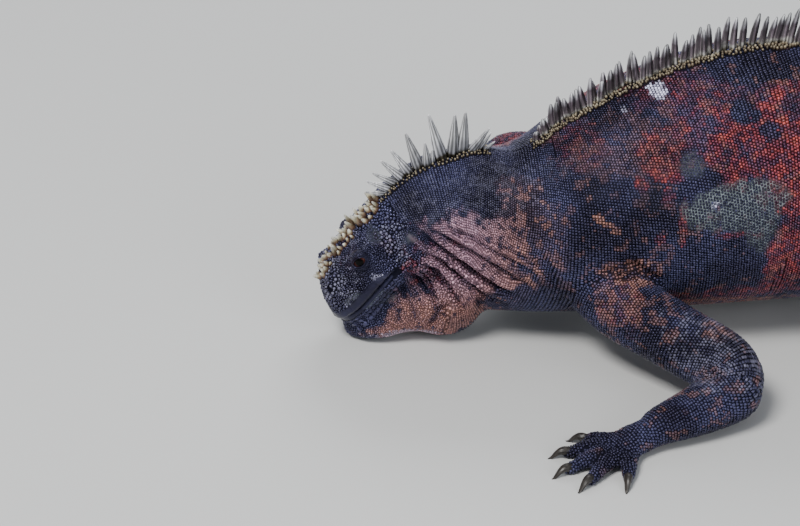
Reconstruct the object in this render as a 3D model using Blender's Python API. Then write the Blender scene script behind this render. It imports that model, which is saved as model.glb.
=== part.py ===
"""A marine iguana at life size, grazing with its head down, as named solids that meet at thin cuts.

Metres, +Z up, floor at Z = 0. The head points along -X and the tail along +X; the animal's left is -Y.
Sizes in the tables are millimetres, measured from the tip of the snout, and MM turns them into metres.
"""

import math
import random

import bmesh
import bpy
import numpy as np
from mathutils import Matrix, Vector, noise

MM = 0.001
GAP = 0.3                      # kept between nodes that touch
SNOUT_TO_ORIGIN = (476.34, 4.35)   # how far the model's middle lies behind and beside the snout

HEAD_PITCH = math.radians(54.0)   # the grazing head points this far below level
SNOUT_TIP = (7.5, 14.0)           # x and height where the line of the head starts
MOUTH_BELOW_LINE = 3.0
MOUTH_CORNER = 46.0               # along the head, from the tip
JAW_BACK = 49.0
EYE_ALONG, EYE_ABOVE, EYE_ASIDE = 36.5, 12.6, 14.6
EYEBALL = 6.2
LID_THICKNESS = 1.1

HEAD_END, NECK_END, TORSO_END = 69.0, 118.0, 425.0
TAIL_CUTS = (425.0, 560.0, 700.0, 850.0, 1000.0)

# distance from the snout: x, aside, height of the body's middle line
MIDDLE_LINE = [
    (66, 46.2, 0, 66.8), (75, 53.1, 0, 71.6), (85, 62.0, 0, 73.6), (100, 76.5, 0, 72.5), (118, 94.3, 0, 69.0),
    (140, 116.0, 0, 66.5), (165, 141.0, 1, 68.0), (190, 166.0, 3, 71.5), (220, 195.8, 5, 75.5),
    (250, 225.8, 6, 78.0), (280, 255.8, 6, 77.5), (310, 285.6, 4, 74.5), (340, 314.8, 2, 69.0),
    (370, 343.6, 0, 61.5), (400, 372.4, -2, 53.0), (425, 396.4, -3, 46.5), (450, 420.4, -3, 40.5),
    (500, 469.4, 2, 31.5), (560, 527.4, 14, 23.6), (640, 604.4, 32, 15.6), (740, 702.4, 47, 11.6),
    (840, 801.4, 46, 8.4), (920, 879.4, 31, 5.6), (985, 941.4, 11, 3.2), (1000, 955.4, 5, 2.6),
]

# distance from the snout: half width, height above and depth below the middle line, fullness of the section
# at the sides and at the ridge
SECTIONS = [
    (0, 5.5, 2.6, 4.5, 0.85, 0.85), (1.5, 9.5, 5.6, 8.5, 0.82, 0.82), (4, 13.0, 9.4, 11.0, 0.8, 0.8),
    (8, 16.0, 13.8, 12.5, 0.78, 0.8), (13, 18.0, 18.0, 13.5, 0.76, 0.82), (18, 19.0, 19.6, 14.5, 0.76, 0.84),
    (25, 19.8, 20.2, 15.5, 0.78, 0.86), (32, 20.5, 20.3, 17.0, 0.8, 0.88), (40, 22.0, 20.0, 19.0, 0.8, 0.9),
    (50, 24.8, 19.2, 22.0, 0.84, 0.94), (58, 27.2, 18.2, 25.0, 0.86, 1.0), (66, 28.6, 17.8, 28.0, 0.88, 1.08),
    (75, 29.8, 18.8, 30.0, 0.9, 1.14), (85, 31.0, 21.4, 33.5, 0.92, 1.2), (100, 34.0, 27.5, 42.5, 0.92, 1.25),
    (110, 37.0, 27.0, 50.5, 0.93, 1.3), (118, 39.5, 28.4, 57.5, 0.94, 1.3), (128, 42.5, 35.5, 56.5, 0.94, 1.3),
    (140, 46.5, 42.5, 56.0, 0.95, 1.25), (165, 55.0, 52.0, 58.0, 0.95, 1.2), (190, 61.5, 58.4, 61.5, 0.94, 1.15),
    (220, 66.0, 63.6, 65.5, 0.93, 1.12), (250, 68.0, 65.8, 67.5, 0.93, 1.1), (280, 67.0, 65.4, 66.0, 0.93, 1.1),
    (310, 62.0, 61.5, 62.0, 0.94, 1.1), (340, 54.5, 54.5, 54.5, 0.95, 1.1), (370, 46.0, 45.0, 45.0, 0.96, 1.12),
    (400, 38.0, 36.5, 35.5, 0.98, 1.14), (425, 32.0, 31.0, 29.5, 1.0, 1.16), (450, 26.5, 27.5, 25.0, 1.02, 1.18),
    (500, 20.0, 24.5, 20.0, 1.06, 1.2), (560, 15.4, 22.5, 17.0, 1.1, 1.2), (640, 11.2, 20.5, 15.2, 1.12, 1.2),
    (740, 8.0, 17.0, 12.0, 1.12, 1.2), (840, 5.8, 12.0, 8.8, 1.1, 1.2), (920, 4.0, 7.6, 6.0, 1.05, 1.1),
    (985, 2.2, 3.6, 3.4, 1.0, 1.0), (1000, 1.0, 1.4, 1.6, 1.0, 1.0),
]

# swellings and hollows of the flesh: distance, degrees from the ridge, spread of each, height
FLESH_FORMS = [
    (36.0, 48.0, 8.0, 15.0, 3.2),      # brow over the eye
    (17.0, 43.0, 4.8, 16.0, 4.2),      # nostril mound
    (25.0, 64.0, 5.0, 14.0, -1.6),     # hollow in front of the eye
    (54.0, 112.0, 9.0, 22.0, 3.6),     # jowl at the angle of the jaw
    (66.0, 62.0, 5.0, 12.0, -1.4),     # hollow over the ear
    (92.0, 0.0, 26.0, 12.0, 1.6),      # fold that carries the nape spines
    (270.0, 0.0, 150.0, 8.0, 3.2),     # fold that carries the crest of the back
    (82.0, 70.0, 3.5, 30.0, 1.8),      # neck folds
    (94.0, 84.0, 3.5, 30.0, 1.8),
    (106.0, 98.0, 4.0, 30.0, 1.6),
    (150.0, 100.0, 22.0, 22.0, 3.0),   # shoulder blade
    (386.0, 92.0, 20.0, 26.0, 3.0),    # hip
]

# the loose skin of the throat, along x: x, height of its middle, half width, above, below
THROAT = [
    (13, 5.0, 6.0, 3.0, 5.0), (16, 7.0, 11.5, 8.0, 7.0), (22, 9.0, 16.5, 13.0, 9.0), (32, 12.0, 19.0, 18.0, 12.5),
    (42, 18.0, 21.0, 22.0, 15.5), (50, 22.0, 23.5, 26.0, 19.5), (60, 27.0, 27.0, 30.0, 28.0),
    (69, 31.0, 28.5, 32.0, 31.5), (78, 35.0, 26.5, 30.0, 29.5), (84, 40.0, 21.0, 22.0, 24.0),
    (87, 42.0, 13.0, 14.0, 17.0),
]

# limbs: x, aside, height, half width, half height of each point, for the left (-1) and right (1) side
LIMBS = {
    "left_upper_arm": [(130, -24, 46, 16, 17), (140, -46, 37, 17.5, 17.5), (166, -78, 30, 16.5, 17),
                       (190, -102, 21.5, 15.5, 16.5), (197, -108, 19, 14, 15)],
    "left_forearm": [(191, -106, 15, 12, 11.5), (170, -117, 13.5, 13.5, 12.5), (146, -125, 10.5, 10, 9)],
    "right_upper_arm": [(136, 22, 56, 17, 17), (131, 44, 56, 18, 17.5), (122, 66, 55.5, 17, 16.5),
                        (114, 80, 53, 14.5, 14.5)],
    "right_forearm": [(113, 82, 49, 12, 12), (112, 98, 31, 13, 13), (109, 111, 11.5, 9.5, 9.5)],
    "left_thigh": [(370, -18, 52, 22, 20), (350, -56, 50, 23, 21), (330, -86, 45, 19, 18), (320, -99, 41, 15, 15)],
    "left_shin": [(320, -98, 38, 13, 13), (340, -113, 26, 14.5, 13.5), (364, -129, 11.5, 9.5, 9)],
    "right_thigh": [(372, 18, 52, 22, 20), (373, 58, 48, 23, 21), (369, 92, 40, 19, 18), (366, 106, 36, 15, 15)],
    "right_shin": [(367, 106, 33, 13, 13), (394, 118, 24, 14.5, 13.5), (430, 126, 11.5, 9.5, 9)],
}

# each foot: wrist or ankle, heading in degrees from straight ahead, towards the outside, which limb it ends
FEET = {
    "left_hand": ("left_forearm", (139, -127.5), 20.0, "hand"),
    "right_hand": ("right_forearm", (102, 113.5), 8.0, "hand"),
    "left_foot": ("left_shin", (369, -133), 40.0, "foot"),
    "right_foot": ("right_shin", (436, 128), 58.0, "foot"),
}
# length, spread and half width of the sole, then each toe's start along it, start aside, angle out and length
SOLES = {
    "hand": (21.0, 9.5, [(15, -7.5, -46, 13), (19, -4.5, -20, 20), (20, 0, 2, 25), (19, 4.5, 22, 24),
                         (14, 7.5, 52, 17)]),
    "foot": (28.0, 10.5, [(19, -8.5, -38, 15), (25, -5.5, -18, 24), (27, -1, -2, 40), (26, 4, 14, 53),
                          (12, 8.0, 50, 30)]),
}
TOE_ROOT, TOE_TIP = 3.9, 2.7
CLAW_ROOT, CLAW_LENGTH = 2.3, 9.5

# nape spines, as distance from the snout: height, width at the root, lean back in degrees
NAPE_SPINES = [
    (64.8, 9.0, 4.2, -18), (72.0, 13.5, 4.4, -6), (74.9, 15.0, 4.6, -3), (77.7, 19.0, 5.2, 11),
    (80.4, 10.5, 3.6, 14), (84.0, 24.5, 7.2, 6), (88.6, 22.0, 5.6, 22), (92.8, 20.0, 5.2, 21),
    (97.0, 13.5, 4.2, 33), (100.6, 8.0, 3.4, 30), (104.2, 5.5, 3.0, 42),
]
# the low crest from the shoulders to the tail's tip: distance, height of the spines there
CREST_HEIGHT = [(128, 3.0), (140, 9.0), (170, 11.5), (200, 13.5), (225, 15.5), (300, 15.0), (380, 11.0),
                (425, 9.5), (560, 8.0), (760, 5.5), (990, 2.2)]
CREST_STEP_BACK, CREST_STEP_TAIL = 6.6, 11.0

COLOURS = {
    "skin_dark": (0.035, 0.038, 0.052), "skin_red": (0.24, 0.085, 0.06), "throat": (0.26, 0.15, 0.11),
    "scute": (0.5, 0.43, 0.28), "eye": (0.09, 0.02, 0.015), "claw": (0.03, 0.026, 0.024),
}


def clear_scene():
    for obj in list(bpy.data.objects):
        bpy.data.objects.remove(obj, do_unlink=True)


def material(name, roughness=0.6):
    """One Principled material for each colour of the animal."""
    found = bpy.data.materials.get(name)
    if found is None:
        found = bpy.data.materials.new(name)
        found.use_nodes = True
        shader = found.node_tree.nodes["Principled BSDF"]
        shader.inputs["Base Color"].default_value = (*COLOURS[name], 1.0)
        shader.inputs["Roughness"].default_value = roughness
        shader.inputs["Metallic"].default_value = 0.0
    return found


def smooth_curve(rows):
    """A function through the rows (position, values...), with slopes that don't overshoot."""
    table = np.array(rows, float)
    at, values = table[:, 0], table[:, 1:]
    run = np.diff(at)[:, None]
    rise = np.diff(values, axis=0) / run
    slopes = np.vstack([rise[:1], (rise[:-1] + rise[1:]) / 2, rise[-1:]])
    slopes[1:-1][rise[:-1] * rise[1:] <= 0] = 0.0

    def value(position):
        position = min(max(position, at[0]), at[-1])
        i = min(int(np.searchsorted(at, position, side="right")) - 1, len(run) - 1)
        h = run[i, 0]
        t = (position - at[i]) / h
        return (values[i] * (1 + 2 * t) * (1 - t) ** 2 + slopes[i] * h * t * (1 - t) ** 2
                + values[i + 1] * t * t * (3 - 2 * t) + slopes[i + 1] * h * t * t * (t - 1))

    return value


def head_point(along, above, aside=0.0):
    """A point of the head: along it from the tip, above its line and aside, as a place in the model."""
    back, up = math.cos(HEAD_PITCH), math.sin(HEAD_PITCH)
    return Vector((SNOUT_TIP[0] + along * back - above * up, aside, SNOUT_TIP[1] + along * up + above * back))


def line_rows():
    """The middle line with its straight stretch through the head added in front."""
    head = []
    for along in (0, 12, 24, 36, 48, 58):
        place = head_point(along, 0.0)
        head.append((along, place.x, place.y, place.z))
    return head + MIDDLE_LINE


middle = smooth_curve(line_rows())
section = smooth_curve(SECTIONS)
crest_height = smooth_curve(CREST_HEIGHT)


def frame_at(distance):
    """Centre, backward direction, up and aside directions of the body's section at a distance from the snout."""
    step = 3.0
    centre = Vector(middle(distance))
    back = (Vector(middle(distance + step)) - Vector(middle(distance - step))).normalized()
    aside = Vector((0, 0, 1)).cross(back).normalized()
    return centre, back, back.cross(aside).normalized(), aside


def flesh_height(distance, degrees):
    """How far the flesh stands out of the plain section there."""
    out = 0.0
    for at, turn, spread, turn_spread, height in FLESH_FORMS:
        out += height * math.exp(-((distance - at) / spread) ** 2 - ((abs(degrees) - turn) / turn_spread) ** 2)
    return out


def body_point(distance, degrees, grow=0.0):
    """A point of the skin: distance from the snout, degrees from the ridge (positive to the animal's right)."""
    centre, _, up, aside = frame_at(distance)
    half_width, above, below, fullness, ridge = section(distance)
    turn = math.radians(degrees)
    sine, cosine = math.sin(turn), math.cos(turn)
    if cosine > 0:
        fullness = ridge + (fullness - ridge) * sine * sine
    across = math.copysign(abs(sine) ** fullness, sine) * half_width
    high = math.copysign(abs(cosine) ** fullness, cosine) * (above if cosine > 0 else below)
    reach = math.hypot(across, high)
    swell = 1.0 + (flesh_height(distance, degrees) + grow) / reach
    place = centre + aside * (across * swell) + up * (high * swell)
    if not grow:
        place.z = max(place.z, 0.0)
    return place


def surface_frame(distance, degrees):
    """Point, outward normal and backward direction on the skin."""
    step, turn = 1.5, 4.0
    here = body_point(distance, degrees)
    back = (body_point(distance + step, degrees) - body_point(distance - step, degrees)).normalized()
    round_it = body_point(distance, degrees + turn) - body_point(distance, degrees - turn)
    normal = back.cross(round_it).normalized()
    centre = Vector(middle(distance))
    if normal.dot(here - centre) < 0:
        normal = -normal
    return here, normal, back


def mesh_object(name, points, faces, colour=None):
    """A mesh object from points in millimetres, moved so that the model's middle is the origin."""
    shift = Vector((-SNOUT_TO_ORIGIN[0], -SNOUT_TO_ORIGIN[1], 0.0))
    mesh = bpy.data.meshes.new(name)
    mesh.from_pydata([(Vector(p) + shift) * MM for p in points], [], faces)
    bm = bmesh.new()
    bm.from_mesh(mesh)
    bmesh.ops.recalc_face_normals(bm, faces=bm.faces)
    bm.to_mesh(mesh)
    bm.free()
    obj = bpy.data.objects.new(name, mesh)
    bpy.context.scene.collection.objects.link(obj)
    if colour:
        mesh.materials.append(material(colour))
    return obj


def lofted(name, rings, colour=None, pointed=False):
    """A closed body through rings of points, each end closed by a fan, or the last one by a single point."""
    count = len(rings[0])
    points = [p for ring in rings for p in ring]
    faces = []
    for r in range(len(rings) - 1):
        for k in range(count):
            a, b = r * count + k, r * count + (k + 1) % count
            faces.append((a, b, b + count, a + count))
    for ring_index in (0, len(rings) - 1):
        first = ring_index * count
        hub = sum((Vector(p) for p in rings[ring_index]), Vector()) / count
        if pointed and ring_index:
            hub = Vector(pointed)
        points.append(hub)
        faces += [(first + k, first + (k + 1) % count, len(points) - 1) for k in range(count)]
    return mesh_object(name, points, faces, colour)


def body_length(name, start, end, step, around, colour=None, grow=0.0):
    """One closed length of the body between two distances from the snout."""
    steps = max(2, round((end - start) / step))
    rings = []
    for i in range(steps + 1):
        distance = start + (end - start) * i / steps
        turns = [360.0 * k / around - 180.0 for k in range(around)]
        rings.append([body_point(distance, t - 26.0 * math.sin(math.radians(t)), grow) for t in turns])
    return lofted(name, rings, colour)


def tube(name, path, colour=None, around=12, step=11.0, grow=0.0, floor=True):
    """A limb or toe with round ends through points (x, aside, height, half width, half height)."""
    points = [Vector(p[:3]) for p in path]
    lengths = np.concatenate([[0.0], np.cumsum([(b - a).length for a, b in zip(points, points[1:])])])
    run = smooth_curve([(s, *p) for s, p in zip(lengths, path)])
    total = lengths[-1]
    steps = max(2, round(total / step))
    stations = [(total * i / steps, 1.0, 0.0) for i in range(steps + 1)]
    bends = (60.0, 30.0)
    start_cap = [(0.0, math.cos(math.radians(b)), -math.sin(math.radians(b))) for b in bends]
    end_cap = [(total, math.cos(math.radians(b)), math.sin(math.radians(b))) for b in reversed(bends)]
    rings = []
    for s, shrink, push in start_cap + stations + end_cap:
        x, y, z, half_width, half_height = run(s)
        ahead = Vector(run(s + 1.0)[:3]) - Vector(run(s - 1.0)[:3])
        ahead.normalize()
        aside = Vector((0, 0, 1)).cross(ahead).normalized()
        up = ahead.cross(aside)
        centre = Vector((x, y, z)) + ahead * push * (min(half_width, half_height) + grow)
        ring = []
        for k in range(around):
            turn = 2 * math.pi * k / around
            place = (centre + aside * math.cos(turn) * (half_width + grow) * shrink
                     + up * math.sin(turn) * (half_height + grow) * shrink)
            if floor:
                place.z = max(place.z, 0.0)
            ring.append(place)
        rings.append(ring)
    return lofted(name, rings, colour)


def spine(place, normal, back, height, width, lean, thickness=2.2, sides=4, shoulder=(0.55, 0.62)):
    """A tapered spine whose root is sunk in the skin, leaning back by some degrees.

    The shoulder is how far up its middle ring stands, and how wide the spine still is there.
    """
    sunk = 3.0
    lean = math.radians(lean)
    up = (normal * math.cos(lean) + back * math.sin(lean)).normalized()
    aside = up.cross(back).normalized()
    along = aside.cross(up).normalized()
    rings = []
    for share, taper in ((0.0, 1.0), shoulder):
        centre = place + up * (height * share) if share else place - normal * sunk
        ring = []
        for k in range(sides):
            turn = 2 * math.pi * (k + 0.5) / sides
            ring.append(centre + along * math.cos(turn) * width * 0.62 * taper
                        + aside * math.sin(turn) * thickness * 0.7 * taper)
        rings.append(ring)
    curl = back * height * 0.06
    return lofted("spine_piece", rings, pointed=place + up * height + curl)


def joined(target, pieces, operation="UNION", solver="EXACT"):
    """One Boolean of a collection of closed bodies, applied, keeping the largest closed surface."""
    group = bpy.data.collections.new("pieces")
    bpy.context.scene.collection.children.link(group)
    for piece in pieces:
        for holder in list(piece.users_collection):
            holder.objects.unlink(piece)
        group.objects.link(piece)
    cut = target.modifiers.new("join", "BOOLEAN")
    cut.operation = operation
    cut.operand_type = "COLLECTION"
    cut.collection = group
    cut.solver = solver
    bpy.context.view_layer.update()
    made = bpy.data.meshes.new_from_object(target.evaluated_get(bpy.context.evaluated_depsgraph_get()))
    target.modifiers.clear()
    old = target.data
    target.data = made
    bpy.data.meshes.remove(old)
    for piece in list(group.objects):
        bpy.data.objects.remove(piece, do_unlink=True)
    bpy.data.collections.remove(group)
    keep_largest(target)
    return target


def keep_largest(obj):
    """Drops every closed surface but the one with the largest volume, and merges doubled points."""
    bm = bmesh.new()
    bm.from_mesh(obj.data)
    bmesh.ops.remove_doubles(bm, verts=bm.verts, dist=1e-6)
    bmesh.ops.triangulate(bm, faces=bm.faces)
    unseen = set(bm.faces)
    shells = []
    while unseen:
        shell, front = set(), [unseen.pop()]
        while front:
            face = front.pop()
            shell.add(face)
            for edge in face.edges:
                for other in edge.link_faces:
                    if other in unseen:
                        unseen.discard(other)
                        front.append(other)
        volume = sum(f.verts[0].co.dot(f.verts[1].co.cross(f.verts[2].co)) for f in shell)
        shells.append((volume, shell))
    shells.sort(key=lambda item: item[0])
    extra = [face for _, shell in shells[:-1] for face in shell]
    bmesh.ops.delete(bm, geom=extra, context="FACES")
    bmesh.ops.delete(bm, geom=[v for v in bm.verts if not v.link_faces], context="VERTS")
    bm.to_mesh(obj.data)
    bm.free()
    obj.data.shade_smooth()


def head_box(name, low, high):
    """A block in the head's own directions, from (along, above, aside) to (along, above, aside)."""
    corners = [head_point(a, v, w) for a in (low[0], high[0]) for v in (low[1], high[1]) for w in (low[2], high[2])]
    faces = [(0, 1, 3, 2), (4, 6, 7, 5), (0, 4, 5, 1), (2, 3, 7, 6), (0, 2, 6, 4), (1, 5, 7, 3)]
    return mesh_object(name, corners, faces)


def ball(name, centre, radii, turn=None, rows=8, around=12, colour=None):
    """A closed ellipsoid at a place, its third radius along its own axis, turned by a matrix."""
    turn = turn or Matrix.Identity(3)
    rings = []
    for r in range(1, rows):
        tilt = math.pi * r / rows
        ring = []
        for k in range(around):
            swing = 2 * math.pi * k / around
            local = Vector((radii[0] * math.sin(tilt) * math.cos(swing), radii[1] * math.sin(tilt) * math.sin(swing),
                            radii[2] * math.cos(tilt)))
            ring.append(centre + turn @ local)
        rings.append(ring)
    obj = lofted(name, rings, colour)
    shift = Vector((-SNOUT_TO_ORIGIN[0], -SNOUT_TO_ORIGIN[1], 0.0))
    hubs = obj.data.vertices[-2:]
    hubs[0].co = (centre + turn @ Vector((0, 0, radii[2])) + shift) * MM
    hubs[1].co = (centre - turn @ Vector((0, 0, radii[2])) + shift) * MM
    return obj


def lip(side_shift, start, end, radius, sides=5):
    """A roll of flesh along the mouth line on both sides and round the front, as one closed tube."""
    rings = []
    stops = [(end - (end - start) * i / 8) for i in range(9)]
    route = [(s, -1) for s in stops] + [(s, 1) for s in reversed(stops)]
    places = []
    for along, side in route:
        half_width, _, below, fullness, _ = section(along)
        level = side_shift - MOUTH_BELOW_LINE
        deep = min(1.0, abs(level) / below)
        turn = math.acos(deep ** (1.0 / fullness))
        across = half_width * math.sin(turn) ** fullness
        swell = 1.0 + flesh_height(along, 95.0) / max(across, 1.0)
        places.append(head_point(along, level, side * (across * swell - 0.35 * radius)))
    for i, place in enumerate(places):
        ahead = (places[min(i + 1, len(places) - 1)] - places[max(i - 1, 0)]).normalized()
        up = (head_point(0, 1) - head_point(0, 0)).normalized()
        out = ahead.cross(up).normalized()
        taper = 0.55 if i in (0, len(places) - 1) else 1.0
        rings.append([place + (out * math.cos(2 * math.pi * k / sides) + up * math.sin(2 * math.pi * k / sides))
                      * radius * taper for k in range(sides)])
    return lofted("lip_piece", rings)


def eye_place(side):
    return head_point(EYE_ALONG, EYE_ABOVE, side * EYE_ASIDE)


def eye_turn(side):
    """Directions of an eye: along its opening, across it, and out of the head."""
    out = (head_point(0, 0.32, side * 0.93) - head_point(0.12, 0, 0)).normalized()
    slant = math.radians(24.0)
    back = (head_point(math.cos(slant), math.sin(slant)) - head_point(0, 0)).normalized()
    across = out.cross(back).normalized()
    back = across.cross(out).normalized()
    return Matrix((back, across, out)).transposed()


def head_scutes(rng):
    """The blunt, cone-shaped scutes on the top of the snout, the brows and the back of the head."""
    pieces = []
    # degrees from the ridge, first and last distance, spacing, height, radius
    rows = [
        (0.0, 16.0, 58.0, 5.8, 4.8, 3.4), (18.0, 14.0, 60.0, 6.6, 3.6, 3.2), (37.0, 21.0, 60.0, 7.6, 2.4, 3.0),
    ]
    for degrees, start, end, step, height, radius in rows:
        for side in ((1,) if degrees == 0 else (-1, 1)):
            distance = start
            while distance <= end:
                place, normal, back = surface_frame(distance, side * degrees + rng.uniform(-2, 2))
                tall = height * rng.uniform(0.75, 1.25)
                pieces.append(spine(place, normal, back, tall, radius * 1.35, rng.uniform(-14, 6),
                                    thickness=radius * 1.15, sides=5, shoulder=(0.6, 0.78)))
                distance += step * rng.uniform(0.9, 1.1)
    return pieces


def make_head(rng):
    """Head and lower jaw: one form, parted along the mouth, with lips, lids, nostrils, ears and scutes."""
    half = GAP / 2
    whole = body_length("head", 0.0, HEAD_END - half, 3.9, 26, "skin_dark")
    jaw = whole.copy()
    jaw.data = whole.data.copy()
    jaw.name = "lower_jaw"
    bpy.context.scene.collection.objects.link(jaw)
    level = -MOUTH_BELOW_LINE
    joined(jaw, [head_box("keep", (-20, level - half, -60), (JAW_BACK - half, -80, 60))], "INTERSECT", "MANIFOLD")
    joined(jaw, [lip(-1.75, 2.5, MOUTH_CORNER, 1.5)], "UNION", "MANIFOLD")
    joined(whole, [head_box("cut", (-20, level + half, -60), (JAW_BACK + half, -80, 60))], "DIFFERENCE", "MANIFOLD")
    added = [lip(1.85, 1.8, MOUTH_CORNER, 1.6)] + head_scutes(rng) + nape(0.0, HEAD_END)
    hollows = []
    for side in (-1, 1):
        turn = eye_turn(side)
        lid = EYEBALL + LID_THICKNESS
        added.append(ball("lids", eye_place(side), (lid * 1.12, lid, lid), turn, 8, 14))
        out = turn @ Vector((0, 0, 1))
        hollows.append(ball("opening", eye_place(side) + out * EYEBALL, (5.4, 2.9, 7.0), turn, 8, 12))
        nostril, normal, _ = surface_frame(14.0, side * 44.0)
        hollows.append(ball("nostril", nostril + normal * 0.4, (1.9, 1.5, 1.9), None, 6, 8))
        ear, normal, back = surface_frame(62.5, side * 80.0)
        across = normal.cross(back)
        hollows.append(ball("ear", ear + normal * 1.2, (3.4, 5.0, 2.4),
                            Matrix((across.cross(normal), across, normal)).transposed(), 6, 10))
    joined(whole, added, "UNION", "MANIFOLD")
    joined(whole, hollows, "DIFFERENCE", "MANIFOLD")
    for side, name in ((-1, "left_eye"), (1, "right_eye")):
        turn = eye_turn(side)
        joined(whole, [ball("socket", eye_place(side), (EYEBALL + GAP,) * 3, turn, 8, 12)], "DIFFERENCE", "MANIFOLD")
        ball(name, eye_place(side), (EYEBALL,) * 3, turn, 8, 12, "eye")


def nape(start, end):
    """The nape spines that stand between two distances from the snout."""
    pieces = []
    for distance, height, width, lean in NAPE_SPINES:
        if start < distance < end:
            place, normal, back = surface_frame(distance, 0.0)
            pieces.append(spine(place, normal, back, height, width, lean, thickness=width * 0.62))
    return pieces


def make_neck():
    """Neck with the loose throat skin and the tall nape spines."""
    half = GAP / 2
    neck = body_length("neck", HEAD_END + half, NECK_END - half, 5.4, 26, "skin_dark")
    rings = []
    run = smooth_curve(THROAT)
    first, last = THROAT[0][0], THROAT[-1][0]
    for i in range(17):
        x = first + (last - first) * i / 16
        height, half_width, above, below = run(x)
        ring = []
        for k in range(18):
            turn = 2 * math.pi * k / 18
            high = math.sin(turn) * (above if math.sin(turn) > 0 else below)
            across = math.copysign(abs(math.cos(turn)) ** (0.6 if high > 0 else 0.9), math.cos(turn))
            ring.append(Vector((x, across * half_width, max(height + high, 0.0))))
        rings.append(ring)
    joined(neck, [lofted("throat", rings)])
    joined(neck, [body_length("clear", 0.0, HEAD_END + half - 0.02, 3.9, 26, None, GAP),
                  lip(-1.75, 2.5, MOUTH_CORNER, 1.5 + GAP)], "DIFFERENCE")
    joined(neck, nape(HEAD_END, NECK_END))


def crest(start, end, step, rng, margin=2.6):
    """Spines along the ridge, their height read from the crest's own curve."""
    pieces = []
    room = end - start - 2 * margin
    count = max(1, round(room / step))
    for i in range(count + 1):
        distance = start + margin + room * i / count
        place, normal, back = surface_frame(distance, 0.0)
        height = crest_height(distance)[0] * rng.uniform(0.86, 1.12)
        wide = min(step * 0.66, 3.2 + height * 0.1)
        pieces.append(spine(place, normal, back, height, wide, 12 + rng.uniform(-7, 9),
                            thickness=min(2.2, 0.9 + height * 0.12)))
    return pieces


def make_torso(rng):
    half = GAP / 2
    torso = body_length("torso", NECK_END + half, TORSO_END - half, 16.0, 26, "skin_red")
    joined(torso, crest(NECK_END + 9.0, TORSO_END, CREST_STEP_BACK, rng))


def make_tail(rng):
    """Four lengths of tail, each with its share of the crest."""
    half = GAP / 2
    names = ("tail_base", "tail_upper", "tail_lower", "tail_tip")
    around = (18, 16, 14, 12)
    for name, start, end, sides in zip(names, TAIL_CUTS, TAIL_CUTS[1:], around):
        last = end == TAIL_CUTS[-1]
        piece = body_length(name, start + half, end - (0 if last else half), 18.0, sides, "skin_dark")
        joined(piece, crest(start, end - (10 if last else 0), CREST_STEP_TAIL, rng, 3.2))


def make_limb(name, clear_of, colour="skin_dark"):
    """A limb length, cut back by the thin gap from what it grows from."""
    limb = tube(name, LIMBS[name], colour)
    joined(limb, [clear_of], "DIFFERENCE")


def make_limbs():
    for side in ("left", "right"):
        near = body_length("clear", NECK_END, TORSO_END, 16.0, 26, None, GAP)
        make_limb(side + "_upper_arm", near, "skin_red")
        make_limb(side + "_forearm", tube("clear", LIMBS[side + "_upper_arm"], grow=GAP, floor=False))
        near = body_length("clear", NECK_END, TORSO_END, 16.0, 26, None, GAP)
        make_limb(side + "_thigh", near)
        make_limb(side + "_shin", tube("clear", LIMBS[side + "_thigh"], grow=GAP, floor=False))


def make_foot(name):
    """A hand or foot: the sole, five toes joined to it, and a claw on each toe as its own solid."""
    limb, wrist, heading, kind = FEET[name]
    side = -1 if name.startswith("left") else 1
    length, half_width, toes = SOLES[kind]
    turn = math.radians(heading)
    ahead = Vector((-math.cos(turn), side * math.sin(turn), 0.0))
    outward = Vector((math.sin(turn), side * math.cos(turn), 0.0))
    start = Vector((*wrist, 0.0))

    def place(along, aside, high):
        spot = start + ahead * along + outward * aside
        return (spot.x, spot.y, high)

    sole = tube(name, [(*place(-6, 0, 8.5), 8.0, 7.5), (*place(length * 0.45, 0, 6.5), half_width, 6.8),
                       (*place(length * 0.82, 0, 4.8), half_width * 1.02, 5.0)], "skin_dark", 12, 9.0)
    pieces = []
    for number, (along, aside, angle, reach) in enumerate(toes, 1):
        swing = math.radians(angle)

        def toe(share, high, radius):
            spot = place(along + math.cos(swing) * reach * share, aside + math.sin(swing) * reach * share, high)
            return (*spot, radius, radius)

        middle_radius = (TOE_ROOT + TOE_TIP) / 2
        pieces.append(tube("toe", [toe(-0.12, 4.6, TOE_ROOT), toe(0.4, 5.0, middle_radius * 1.06),
                                   toe(0.75, 3.6, middle_radius * 0.95), toe(1.0, 2.5, TOE_TIP)],
                           None, 7, max(reach / 3.0, 6.5)))
        make_claw(f"{name}_claw_{number}", Vector(toe(1.0, 2.5, 0)[:3]),
                  ahead * math.cos(swing) + outward * math.sin(swing))
    joined(sole, pieces)
    joined(sole, [tube("clear", LIMBS[limb], grow=GAP, floor=False)], "DIFFERENCE")


def make_claw(name, toe_end, ahead):
    """A curved claw that starts just in front of the toe's round end and comes down to the floor."""
    aside = Vector((0, 0, 1)).cross(ahead).normalized()
    first = toe_end + ahead * (TOE_TIP + GAP)
    rings = []
    for share, taper, drop in ((0.0, 0.8, 0.2), (0.2, 1.0, 0.55), (0.65, 0.6, -0.1)):
        centre = first + ahead * CLAW_LENGTH * share + Vector((0, 0, drop))
        radius = CLAW_ROOT * taper
        ring = []
        for k in range(5):
            turn = 2 * math.pi * (k + 0.5) / 5
            spot = centre + aside * math.cos(turn) * radius * 0.72 + Vector((0, 0, 1)) * math.sin(turn) * radius
            spot.z = max(spot.z, 0.0)
            ring.append(spot)
        rings.append(ring)
    tip = first + ahead * CLAW_LENGTH
    tip.z = 0.35
    lofted(name, rings, "claw", pointed=tip)


def main():
    clear_scene()
    rng = random.Random(11)
    make_head(rng)
    make_neck()
    make_torso(rng)
    make_tail(rng)
    make_limbs()
    for name in FEET:
        make_foot(name)


main()
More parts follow.
